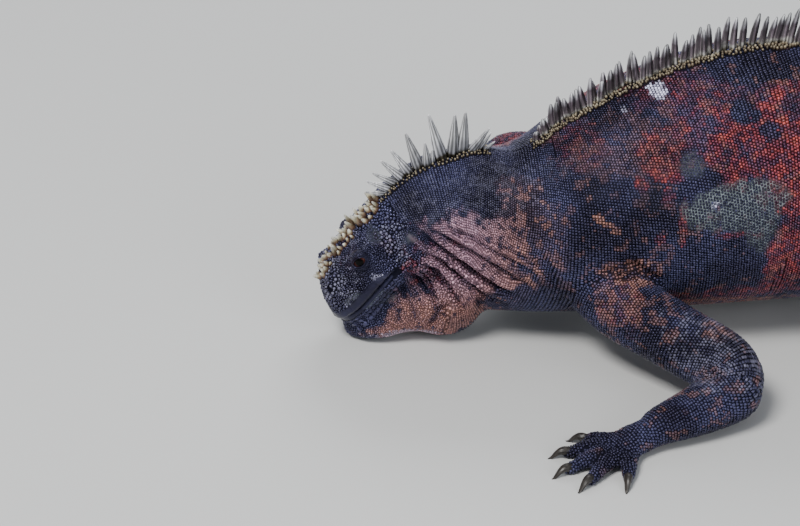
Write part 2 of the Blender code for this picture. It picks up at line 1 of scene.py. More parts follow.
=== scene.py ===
# A still, life-size marine iguana, grazing with its head down.
# The scene is in metres. The tables of the animal's form are millimetres measured from the tip of the snout,
# with x towards the tail, y to the animal's right and z up from the floor.
import math
import random

import bmesh
import bpy
import numpy as np
from mathutils import Matrix, Vector, noise
from mathutils.bvhtree import BVHTree


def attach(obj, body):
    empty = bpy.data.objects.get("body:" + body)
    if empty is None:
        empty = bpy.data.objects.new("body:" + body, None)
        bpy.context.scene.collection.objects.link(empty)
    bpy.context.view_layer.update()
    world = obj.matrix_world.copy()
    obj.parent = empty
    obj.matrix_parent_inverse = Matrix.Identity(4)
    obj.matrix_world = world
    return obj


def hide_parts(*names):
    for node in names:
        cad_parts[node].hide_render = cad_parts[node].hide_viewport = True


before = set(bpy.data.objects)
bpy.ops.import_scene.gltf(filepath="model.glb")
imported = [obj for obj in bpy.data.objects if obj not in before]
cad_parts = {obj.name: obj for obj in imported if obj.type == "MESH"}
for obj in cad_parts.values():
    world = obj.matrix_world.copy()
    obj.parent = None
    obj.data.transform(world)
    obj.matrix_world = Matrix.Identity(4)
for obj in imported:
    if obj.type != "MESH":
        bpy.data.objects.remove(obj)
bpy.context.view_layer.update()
nodeNames = sorted(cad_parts)
mm = 0.001
snoutToOrigin = (476.34, 4.35)


def report(stage):
    print("iguana:", stage)


# the form of the animal

headForm = {
    "pitch": math.radians(54.0),     # how far the head points below level
    "tip": (7.5, 14.0),              # x and height where the line of the head starts
    "mouthLevel": -3.0,
    "mouthCorner": 46.0,
    "eye": (36.5, 12.6, 14.6),       # along, above and aside of the head's line
    "eyeball": 6.2,
    "end": 69.0,
}
bodyForm = {"neckEnd": 118.0, "torsoEnd": 425.0, "tailEnd": 1000.0, "coatDepth": 0.45}

# distance from the snout: x, aside, height of the body's middle line
middleLine = [
    (66, 46.2, 0, 66.8), (75, 53.1, 0, 71.6), (85, 62.0, 0, 73.6), (100, 76.5, 0, 72.5), (118, 94.3, 0, 69.0),
    (140, 116.0, 0, 66.5), (165, 141.0, 1, 68.0), (190, 166.0, 3, 71.5), (220, 195.8, 5, 75.5),
    (250, 225.8, 6, 78.0), (280, 255.8, 6, 77.5), (310, 285.6, 4, 74.5), (340, 314.8, 2, 69.0),
    (370, 343.6, 0, 61.5), (400, 372.4, -2, 53.0), (425, 396.4, -3, 46.5), (450, 420.4, -3, 40.5),
    (500, 469.4, 2, 31.5), (560, 527.4, 14, 23.6), (640, 604.4, 32, 15.6), (740, 702.4, 47, 11.6),
    (840, 801.4, 46, 8.4), (920, 879.4, 31, 5.6), (985, 941.4, 11, 3.2), (1000, 955.4, 5, 2.6),
]
# distance from the snout: half width, height above and depth below the middle line, fullness at sides and ridge
sectionRows = [
    (0, 5.5, 2.6, 4.5, 0.85, 0.85), (1.5, 9.5, 5.6, 8.5, 0.82, 0.82), (4, 13.0, 9.4, 11.0, 0.8, 0.8),
    (8, 16.0, 13.8, 12.5, 0.78, 0.8), (13, 18.0, 18.0, 13.5, 0.76, 0.82), (18, 19.0, 19.6, 14.5, 0.76, 0.84),
    (25, 19.8, 20.2, 15.5, 0.78, 0.86), (32, 20.5, 20.3, 17.0, 0.8, 0.88), (40, 22.0, 20.0, 19.0, 0.8, 0.9),
    (50, 24.8, 19.2, 22.0, 0.84, 0.94), (58, 27.2, 18.2, 25.0, 0.86, 1.0), (66, 28.6, 17.8, 28.0, 0.88, 1.08),
    (75, 29.8, 18.8, 30.0, 0.9, 1.14), (85, 31.0, 21.4, 33.5, 0.92, 1.2), (100, 34.0, 27.5, 42.5, 0.92, 1.25),
    (110, 37.0, 27.0, 50.5, 0.93, 1.3), (118, 39.5, 28.4, 57.5, 0.94, 1.3), (128, 42.5, 35.5, 56.5, 0.94, 1.3),
    (140, 46.5, 42.5, 56.0, 0.95, 1.25), (165, 55.0, 52.0, 58.0, 0.95, 1.2), (190, 61.5, 58.4, 61.5, 0.94, 1.15),
    (220, 66.0, 63.6, 65.5, 0.93, 1.12), (250, 68.0, 65.8, 67.5, 0.93, 1.1), (280, 67.0, 65.4, 66.0, 0.93, 1.1),
    (310, 62.0, 61.5, 62.0, 0.94, 1.1), (340, 54.5, 54.5, 54.5, 0.95, 1.1), (370, 46.0, 45.0, 45.0, 0.96, 1.12),
    (400, 38.0, 36.5, 35.5, 0.98, 1.14), (425, 32.0, 31.0, 29.5, 1.0, 1.16), (450, 26.5, 27.5, 25.0, 1.02, 1.18),
    (500, 20.0, 24.5, 20.0, 1.06, 1.2), (560, 15.4, 22.5, 17.0, 1.1, 1.2), (640, 11.2, 20.5, 15.2, 1.12, 1.2),
    (740, 8.0, 17.0, 12.0, 1.12, 1.2), (840, 5.8, 12.0, 8.8, 1.1, 1.2), (920, 4.0, 7.6, 6.0, 1.05, 1.1),
    (985, 2.2, 3.6, 3.4, 1.0, 1.0), (1000, 1.0, 1.4, 1.6, 1.0, 1.0),
]
# swellings and hollows of the flesh: distance, degrees from the ridge, spread of each, height
fleshForms = [
    (36.0, 48.0, 8.0, 15.0, 3.2), (17.0, 43.0, 4.8, 16.0, 4.2), (25.0, 64.0, 5.0, 14.0, -1.6),
    (54.0, 112.0, 9.0, 22.0, 3.6), (66.0, 62.0, 5.0, 12.0, -1.4), (92.0, 0.0, 26.0, 12.0, 1.6),
    (270.0, 0.0, 150.0, 8.0, 3.2), (82.0, 70.0, 3.5, 30.0, 1.8), (94.0, 84.0, 3.5, 30.0, 1.8),
    (106.0, 98.0, 4.0, 30.0, 1.6), (150.0, 100.0, 22.0, 22.0, 3.0), (386.0, 92.0, 20.0, 26.0, 3.0),
]
# the loose skin of the throat, along x: x, height of its middle, half width, above, below
throatRows = [
    (13, 5.0, 6.0, 3.0, 5.0), (16, 7.0, 11.5, 8.0, 7.0), (22, 9.0, 16.5, 13.0, 9.0), (32, 12.0, 19.0, 18.0, 12.5),
    (42, 18.0, 21.0, 22.0, 15.5), (50, 22.0, 23.5, 26.0, 19.5), (60, 27.0, 27.0, 30.0, 28.0),
    (69, 31.0, 28.5, 32.0, 31.5), (78, 35.0, 26.5, 30.0, 29.5), (84, 40.0, 21.0, 22.0, 24.0),
    (87, 42.0, 13.0, 14.0, 17.0),
]
# x, aside, height, half width, half height along each leg, from the body to the wrist or ankle
legRows = {
    "left_arm": [(130, -24, 46, 16, 17), (140, -46, 37, 17.5, 17.5), (166, -78, 30, 16.5, 17),
                 (188, -101, 21.5, 15.2, 16.2), (189, -108, 17.5, 13.5, 14), (172, -116, 14, 13.3, 12.8),
                 (146, -125, 10.5, 10, 9)],
    "right_arm": [(136, 22, 56, 17, 17), (131, 44, 56, 18, 17.5), (122, 66, 55.5, 17, 16.5),
                  (114, 82, 50, 14.2, 14.2), (112, 98, 31, 13, 13), (109, 111, 11.5, 9.5, 9.5)],
    "left_leg": [(370, -18, 52, 22, 20), (350, -56, 50, 23, 21), (330, -86, 45, 19, 18), (321, -99, 39.5, 14.6, 14.6),
                 (340, -113, 26, 14.5, 13.5), (364, -129, 11.5, 9.5, 9)],
    "right_leg": [(372, 18, 52, 22, 20), (373, 58, 48, 23, 21), (369, 92, 40, 19, 18), (368, 106, 34.5, 14.6, 14.6),
                  (394, 118, 24, 14.5, 13.5), (430, 126, 11.5, 9.5, 9)],
}
# wrist or ankle, heading in degrees from straight ahead towards the outside, and kind
feet = {
    "left_hand": ((139, -127.5), 20.0, "hand"),
    "right_hand": ((102, 113.5), 8.0, "hand"),
    "left_foot": ((369, -133), 40.0, "foot"),
    "right_foot": ((436, 128), 58.0, "foot"),
}
# length and half width of the sole, then each toe's start along it, start aside, angle out and length
soles = {
    "hand": (21.0, 9.5, [(15, -7.5, -46, 13), (19, -4.5, -20, 20), (20, 0, 2, 25), (19, 4.5, 22, 24),
                         (14, 7.5, 52, 17)]),
    "foot": (28.0, 10.5, [(19, -8.5, -38, 15), (25, -5.5, -18, 24), (27, -1, -2, 40), (26, 4, 14, 53),
                          (12, 8.0, 50, 30)]),
}
toeForm = {"root": 3.9, "tip": 2.7, "claw": 9.5, "clawRoot": 2.3, "plump": 0.75}


def smoothCurve(rows):
    # a function through the rows (position, values...), with slopes that don't overshoot
    table = np.array(rows, float)
    at, values = table[:, 0], table[:, 1:]
    run = np.diff(at)[:, None]
    rise = np.diff(values, axis=0) / run
    slopes = np.vstack([rise[:1], (rise[:-1] + rise[1:]) / 2, rise[-1:]])
    slopes[1:-1][rise[:-1] * rise[1:] <= 0] = 0.0

    def value(position):
        position = min(max(position, at[0]), at[-1])
        i = min(int(np.searchsorted(at, position, side="right")) - 1, len(run) - 1)
        h = run[i, 0]
        t = (position - at[i]) / h
        return (values[i] * (1 + 2 * t) * (1 - t) ** 2 + slopes[i] * h * t * (1 - t) ** 2
                + values[i + 1] * t * t * (3 - 2 * t) + slopes[i + 1] * h * t * t * (t - 1))

    return value


def headPoint(along, above, aside=0.0):
    # a point given along the head from its tip, above its line and aside
    back, up = math.cos(headForm["pitch"]), math.sin(headForm["pitch"])
    tipX, tipZ = headForm["tip"]
    return Vector((tipX + along * back - above * up, aside, tipZ + along * up + above * back))


def headCoordinates(points):
    # the reverse: along, above and aside of points in millimetres
    back, up = math.cos(headForm["pitch"]), math.sin(headForm["pitch"])
    x, z = points[:, 0] - headForm["tip"][0], points[:, 2] - headForm["tip"][1]
    return x * back + z * up, z * back - x * up, points[:, 1]


middle = smoothCurve([(a, *headPoint(a, 0.0)) for a in (0, 12, 24, 36, 48, 58)] + middleLine)
section = smoothCurve(sectionRows)


def frameAt(distance):
    # centre, backward direction, up and aside of the body's section at a distance from the snout
    step = 3.0
    centre = Vector(middle(distance))
    back = (Vector(middle(distance + step)) - Vector(middle(distance - step))).normalized()
    aside = Vector((0, 0, 1)).cross(back).normalized()
    return centre, back, back.cross(aside).normalized(), aside


def fleshHeight(distance, degrees):
    out = 0.0
    for at, turn, spread, turnSpread, height in fleshForms:
        out += height * math.exp(-((distance - at) / spread) ** 2 - ((abs(degrees) - turn) / turnSpread) ** 2)
    return out


def bodyRing(distance, turns, grow):
    # the body's section at a distance from the snout, at some turns in degrees from the ridge
    centre, _, up, aside = frameAt(distance)
    halfWidth, above, below, sides, ridge = section(distance)
    ring = []
    for degrees in turns:
        turn = math.radians(degrees)
        sine, cosine = math.sin(turn), math.cos(turn)
        fullness = ridge + (sides - ridge) * sine * sine if cosine > 0 else sides
        across = math.copysign(abs(sine) ** fullness, sine) * halfWidth
        high = math.copysign(abs(cosine) ** fullness, cosine) * (above if cosine > 0 else below)
        swell = 1.0 + (fleshHeight(distance, degrees) + grow) / math.hypot(across, high)
        place = centre + aside * (across * swell) + up * (high * swell)
        place.z = max(place.z, -grow)
        ring.append(place)
    return ring


def toScene(points):
    # millimetres from the snout to metres in the scene
    return (np.asarray(points, float) - (*snoutToOrigin, 0.0)) * mm


def toForm(points):
    return np.asarray(points, float) / mm + (*snoutToOrigin, 0.0)


def deselectAll():
    bpy.ops.object.select_all(action="DESELECT")


def pick(*objects):
    # these objects and no others are selected, and the first is active
    deselectAll()
    for obj in objects:
        obj.select_set(True)
    bpy.context.view_layer.objects.active = objects[0]


def applyModifier(obj, kind, **values):
    pick(obj)
    added = obj.modifiers.new(kind.lower(), kind)
    for key, value in values.items():
        setattr(added, key, value)
    bpy.ops.object.modifier_apply(modifier=added.name)


def lofted(name, rings):
    # a closed body through rings of points in millimetres, each end closed by a fan
    count = len(rings[0])
    points = [p for ring in rings for p in ring]
    faces = []
    for r in range(len(rings) - 1):
        for k in range(count):
            a, b = r * count + k, r * count + (k + 1) % count
            faces.append((a, b, b + count, a + count))
    for first in (0, (len(rings) - 1) * count):
        points.append(sum((Vector(p) for p in points[first:first + count]), Vector()) / count)
        faces += [(first + k, first + (k + 1) % count, len(points) - 1) for k in range(count)]
    mesh = bpy.data.meshes.new(name)
    mesh.from_pydata(toScene(points), [], faces)
    obj = bpy.data.objects.new(name, mesh)
    bpy.context.scene.collection.objects.link(obj)
    pick(obj)
    bpy.ops.object.mode_set(mode="EDIT")
    bpy.ops.mesh.select_all(action="SELECT")
    bpy.ops.mesh.normals_make_consistent(inside=False)
    bpy.ops.object.mode_set(mode="OBJECT")
    return obj


def tubeStations(path, step, grow=0.0, caps=True):
    # stations along a leg or toe: centre, ahead, aside, up, half width, half height
    points = [Vector(p[:3]) for p in path]
    lengths = np.concatenate([[0.0], np.cumsum([(b - a).length for a, b in zip(points, points[1:])])])
    run = smoothCurve([(s, *p) for s, p in zip(lengths, path)])
    total = lengths[-1]
    steps = max(2, round(total / step))
    stops = [(total * i / steps, 1.0, 0.0) for i in range(steps + 1)]
    if caps:
        bends = (75.0, 50.0, 25.0)
        start = [(0.0, math.cos(math.radians(b)), -math.sin(math.radians(b))) for b in bends]
        end = [(total, math.cos(math.radians(b)), math.sin(math.radians(b))) for b in reversed(bends)]
        stops = start + stops + end
    stations = []
    for s, shrink, push in stops:
        x, y, z, halfWidth, halfHeight = run(s)
        ahead = (Vector(run(s + 1.5)[:3]) - Vector(run(s - 1.5)[:3])).normalized()
        aside = Vector((0, 0, 1)).cross(ahead).normalized()
        centre = Vector((x, y, z)) + ahead * push * (min(halfWidth, halfHeight) + grow)
        stations.append((centre, ahead, aside, ahead.cross(aside), (halfWidth + grow) * shrink,
                         (halfHeight + grow) * shrink))
    return stations


def tube(name, path, grow, around=28, step=4.0):
    rings = []
    for centre, _, aside, up, halfWidth, halfHeight in tubeStations(path, step, grow):
        ring = []
        for k in range(around):
            turn = 2 * math.pi * k / around
            place = centre + aside * math.cos(turn) * halfWidth + up * math.sin(turn) * halfHeight
            place.z = max(place.z, -grow)
            ring.append(place)
        rings.append(ring)
    return lofted(name, rings)


def footParts(name):
    # the sole's and each toe's path, and where each claw starts, from the foot's own sizes
    wrist, heading, kind = feet[name]
    side = -1 if name.startswith("left") else 1
    length, halfWidth, toes = soles[kind]
    turn = math.radians(heading)
    ahead = Vector((-math.cos(turn), side * math.sin(turn), 0.0))
    outward = Vector((math.sin(turn), side * math.cos(turn), 0.0))
    start = Vector((*wrist, 0.0))

    def place(along, aside, high):
        spot = start + ahead * along + outward * aside
        return (spot.x, spot.y, high)

    sole = [(*place(-6, 0, 8.5), 8.0, 7.5), (*place(length * 0.45, 0, 6.5), halfWidth, 6.8),
            (*place(length * 0.82, 0, 4.8), halfWidth * 1.02, 5.0)]
    toePaths, claws = [], []
    thin, thick = toeForm["tip"], (toeForm["root"] + toeForm["tip"]) / 2
    for along, aside, angle, reach in toes:
        swing = math.radians(angle)

        def toe(share, high, radius):
            spot = place(along + math.cos(swing) * reach * share, aside + math.sin(swing) * reach * share, high)
            return (*spot, radius, radius)

        toePaths.append([toe(-0.12, 4.6, toeForm["root"]), toe(0.4, 5.0, thick * 1.06), toe(0.75, 3.6, thick * 0.95),
                         toe(1.0, 2.5, thin)])
        claws.append((Vector(toe(1.0, 2.5, 0)[:3]), ahead * math.cos(swing) + outward * math.sin(swing)))
    return sole, toePaths, claws


# the skin: one closed surface under the scales

skinForm = {"voxel": 0.0022, "trunkStep": 2.6, "trunkAround": 84, "smoothing": 6}

# creases seen from the side: points (x, height), half width, depth, how far the crease's banks stand up
creases = [
    ([(38, 74), (48, 68), (60, 58), (72, 48), (86, 38), (98, 32)], 1.9, 2.3, 1.2),
    ([(47, 62), (56, 54), (66, 44), (78, 34), (88, 27)], 1.6, 2.0, 1.0),
    ([(45, 55), (54, 46), (62, 36), (68, 24)], 1.5, 2.0, 1.0),
    ([(41, 47), (48, 39), (54, 30), (57, 18)], 1.5, 1.9, 0.9),
    ([(46, 74), (58, 68), (74, 58), (90, 48), (104, 40)], 1.6, 1.9, 1.0),
    ([(52, 76), (70, 69), (86, 59), (102, 51)], 1.4, 1.4, 0.8),
    ([(56, 60), (68, 50), (80, 41), (94, 34)], 1.1, 1.3, 0.7),
    ([(52, 52), (60, 42), (66, 32), (70, 22)], 1.0, 1.2, 0.6),
    ([(60, 65), (76, 53), (92, 43)], 1.0, 1.2, 0.6),
    ([(44, 51), (51, 42), (57, 30)], 1.0, 1.1, 0.6),
    ([(66, 74), (82, 66), (98, 58), (110, 50)], 1.2, 1.0, 0.6),
    ([(60, 50), (68, 40), (76, 30), (80, 20)], 1.1, 1.2, 0.6),
    ([(36, 40), (41, 32), (45, 23), (47, 14)], 1.5, 1.2, 0.5),
    ([(52, 12), (57, 22), (60, 30)], 2.0, 2.0, 0.8),
    ([(141, 64), (148, 60), (157, 53), (164, 49)], 1.8, 2.6, 1.2),
    ([(128, 58), (140, 55), (152, 49)], 1.4, 1.4, 0.7),
    ([(100, 66), (108, 54), (112, 42)], 2.2, 1.2, 0.6),
]


def lineDistance(points, line):
    # distance in the side view from each point to a line of (x, height) points, and how far along it that is
    best, passed = np.full(len(points), 1e9), np.zeros(len(points))
    flat = points[:, [0, 2]]
    for i, (a, b) in enumerate(zip(line, line[1:])):
        a, b = np.array(a, float), np.array(b, float)
        run = b - a
        share = np.clip(((flat - a) @ run) / (run @ run), 0, 1)
        away = np.hypot(*(flat - a - share[:, None] * run).T)
        passed = np.where(away < best, (i + share) / (len(line) - 1), passed)
        best = np.minimum(best, away)
    return best, passed


def smoothStep(low, high, value):
    share = np.clip((value - low) / (high - low), 0.0, 1.0)
    return share * share * (3 - 2 * share)


def creaseDepth(points):
    # how far the flesh sinks at each point, negative on the banks of a crease
    out = np.zeros(len(points))
    aside = np.abs(points[:, 1])
    facing = smoothStep(9.0, 20.0, aside) * smoothStep(62.0, 52.0, aside)
    for line, width, depth, bank in creases:
        away, passed = lineDistance(points, line)
        away = away / width
        fade = smoothStep(0.0, 0.25, passed) * smoothStep(1.0, 0.72, passed)
        out += facing * fade * 1.3 * (depth * np.exp(-away ** 2) - bank * np.exp(-((away - 2.1) / 0.9) ** 2))
    return out


def eyeAxes(side):
    # centre of an eye, with the directions along its opening, across it and out of the head
    along, above, aside = headForm["eye"]
    out = (headPoint(0, 0.32, side * 0.93) - headPoint(0.12, 0, 0)).normalized()
    slant = math.radians(-15.0)
    back = (headPoint(math.cos(slant), math.sin(slant)) - headPoint(0, 0)).normalized()
    across = out.cross(back).normalized()
    return headPoint(along, above, side * aside), across.cross(out).normalized(), across, out


def trunkPoint(distance, degrees):
    # a point on the body's own form, its outward normal and the way back
    turn, step = 4.0, 1.5
    here = bodyRing(distance, [degrees], 0.0)[0]
    back = (bodyRing(distance + step, [degrees], 0.0)[0] - bodyRing(distance - step, [degrees], 0.0)[0]).normalized()
    sideways = bodyRing(distance, [degrees + turn], 0.0)[0] - bodyRing(distance, [degrees - turn], 0.0)[0]
    normal = back.cross(sideways).normalized()
    if normal.dot(here - Vector(middle(distance))) < 0:
        normal = -normal
    return here, normal, back


def sculptSkin(skin):
    # creases, lips, eye sockets, nostrils and ears are pushed into the flesh along its normals
    mesh = skin.data
    count = len(mesh.vertices)
    points = np.empty(count * 3, np.float32)
    normals = np.empty(count * 3, np.float32)
    mesh.vertices.foreach_get("co", points)
    mesh.vertices.foreach_get("normal", normals)
    points, normals = points.reshape(-1, 3).astype(float), normals.reshape(-1, 3).astype(float)
    form = toForm(points)
    push = -creaseDepth(form)
    along, above, aside = headCoordinates(form)
    onHead = (along < 52) & (np.abs(aside) < 40)
    mouth = above - headForm["mouthLevel"]
    reach = smoothStep(headForm["mouthCorner"] + 1, headForm["mouthCorner"] - 5, along) * onHead
    push += reach * (1.1 * np.exp(-((mouth - 2.6) / 1.7) ** 2) + 0.8 * np.exp(-((mouth + 2.5) / 1.6) ** 2)
                     - 1.1 * np.exp(-(mouth / 0.8) ** 2))
    for side in (-1, 1):
        centre, back, across, out = eyeAxes(side)
        offset = form - np.array(centre)
        u, v, w = offset @ np.array(back), offset @ np.array(across), offset @ np.array(out)
        away = np.hypot(u / 7.4, v / 5.6)
        push -= (w > -2) * onHead * smoothStep(1.1, 0.4, away) * 2.6
        push += (w > -2) * onHead * 0.7 * np.exp(-((away - 1.45) / 0.3) ** 2)
        nostril, normal, _ = trunkPoint(14.0, side * 44.0)
        away = np.linalg.norm(form - np.array(nostril), axis=1)
        push += onHead * (0.9 * np.exp(-((away - 3.0) / 1.1) ** 2) - 3.2 * np.exp(-(away / 1.35) ** 2))
        ear, normal, earBack = trunkPoint(62.5, side * 80.0)
        offset = form - np.array(ear)
        u, v = offset @ np.array(earBack), offset @ np.array(normal.cross(earBack))
        away = np.hypot(u / 3.4, v / 5.2)
        near = np.linalg.norm(offset, axis=1) < 14
        push += near * (0.8 * np.exp(-((away - 1.45) / 0.3) ** 2) - 1.7 * smoothStep(1.15, 0.75, away))
    moved = points + normals * (push * mm)[:, None]
    moved[:, 2] = np.maximum(moved[:, 2], bodyForm["coatDepth"] * mm)
    mesh.vertices.foreach_set("co", moved.astype(np.float32).ravel())
    mesh.update()


def makeSkin():
    depth = -bodyForm["coatDepth"]
    around = skinForm["trunkAround"]
    turns = [360.0 * k / around - 180.0 for k in range(around)]
    turns = [t - 20.0 * math.sin(math.radians(t)) for t in turns]
    steps = round(bodyForm["tailEnd"] / skinForm["trunkStep"])
    stops = [bodyForm["tailEnd"] * i / steps for i in range(steps + 1)]
    trunk = lofted("trunk", [bodyRing(s, turns, max(depth, -0.3 * section(s)[1])) for s in stops])
    run = smoothCurve(throatRows)
    rings = []
    for i in range(37):
        x = throatRows[0][0] + (throatRows[-1][0] - throatRows[0][0]) * i / 36
        height, halfWidth, above, below = run(x)
        ring = []
        for k in range(40):
            turn = 2 * math.pi * k / 40
            high = math.sin(turn) * (above if math.sin(turn) > 0 else below)
            across = math.copysign(abs(math.cos(turn)) ** (0.6 if high > 0 else 0.9), math.cos(turn))
            ring.append(Vector((x, across * (halfWidth + depth), max(height + high, -depth))))
        rings.append(ring)
    throat = lofted("throat", rings)
    pick(trunk, throat)
    bpy.ops.object.join()
    applyModifier(trunk, "REMESH", mode="VOXEL", voxel_size=skinForm["voxel"])
    whole = trunk.copy()
    whole.data = trunk.data.copy()
    bpy.context.scene.collection.objects.link(whole)
    legs = [tube(name, path, depth) for name, path in legRows.items()]
    for name in feet:
        sole, toePaths, _ = footParts(name)
        legs.append(tube(name, sole, depth, 24, 3.0))
        legs += [tube(name, path, depth + toeForm["plump"], 16, 2.0) for path in toePaths]
    pick(whole, *legs)
    bpy.ops.object.join()
    applyModifier(whole, "REMESH", mode="VOXEL", voxel_size=skinForm["voxel"])
    for obj in (trunk, whole):
        applyModifier(obj, "SMOOTH", factor=0.5, iterations=skinForm["smoothing"])
    whole.name = whole.data.name = "skin"
    subdivideHead(whole)
    sculptSkin(whole)
    return whole, trunk


def subdivideHead(skin):
    # finer faces where the head's folds are pushed in
    points = np.empty(len(skin.data.vertices) * 3, np.float32)
    skin.data.vertices.foreach_get("co", points)
    along, above, aside = headCoordinates(toForm(points.reshape(-1, 3)))
    form = toForm(points.reshape(-1, 3))
    near = (along < 66) & (above > -26) & (np.abs(aside) < 34)
    near |= (form[:, 0] > 38) & (form[:, 0] < 112) & (form[:, 2] < 82) & (np.abs(form[:, 1]) > 12)
    pick(skin)
    bpy.ops.object.mode_set(mode="EDIT")
    bpy.ops.mesh.select_mode(type="VERT")
    bpy.ops.mesh.select_all(action="DESELECT")
    bpy.ops.object.mode_set(mode="OBJECT")
    skin.data.vertices.foreach_set("select", near)
    bpy.ops.object.mode_set(mode="EDIT")
    bpy.ops.mesh.select_mode(type="FACE")
    bpy.ops.mesh.subdivide(number_cuts=1, smoothness=0.4)
    bpy.ops.object.mode_set(mode="OBJECT")


def surfaceTree(obj):
    return BVHTree.FromObject(obj, bpy.context.evaluated_depsgraph_get())


skin, trunk = makeSkin()
skin.data.shade_smooth()
skinTree, trunkTree = surfaceTree(skin), surfaceTree(trunk)
report(f"skin with {len(skin.data.polygons)} faces")
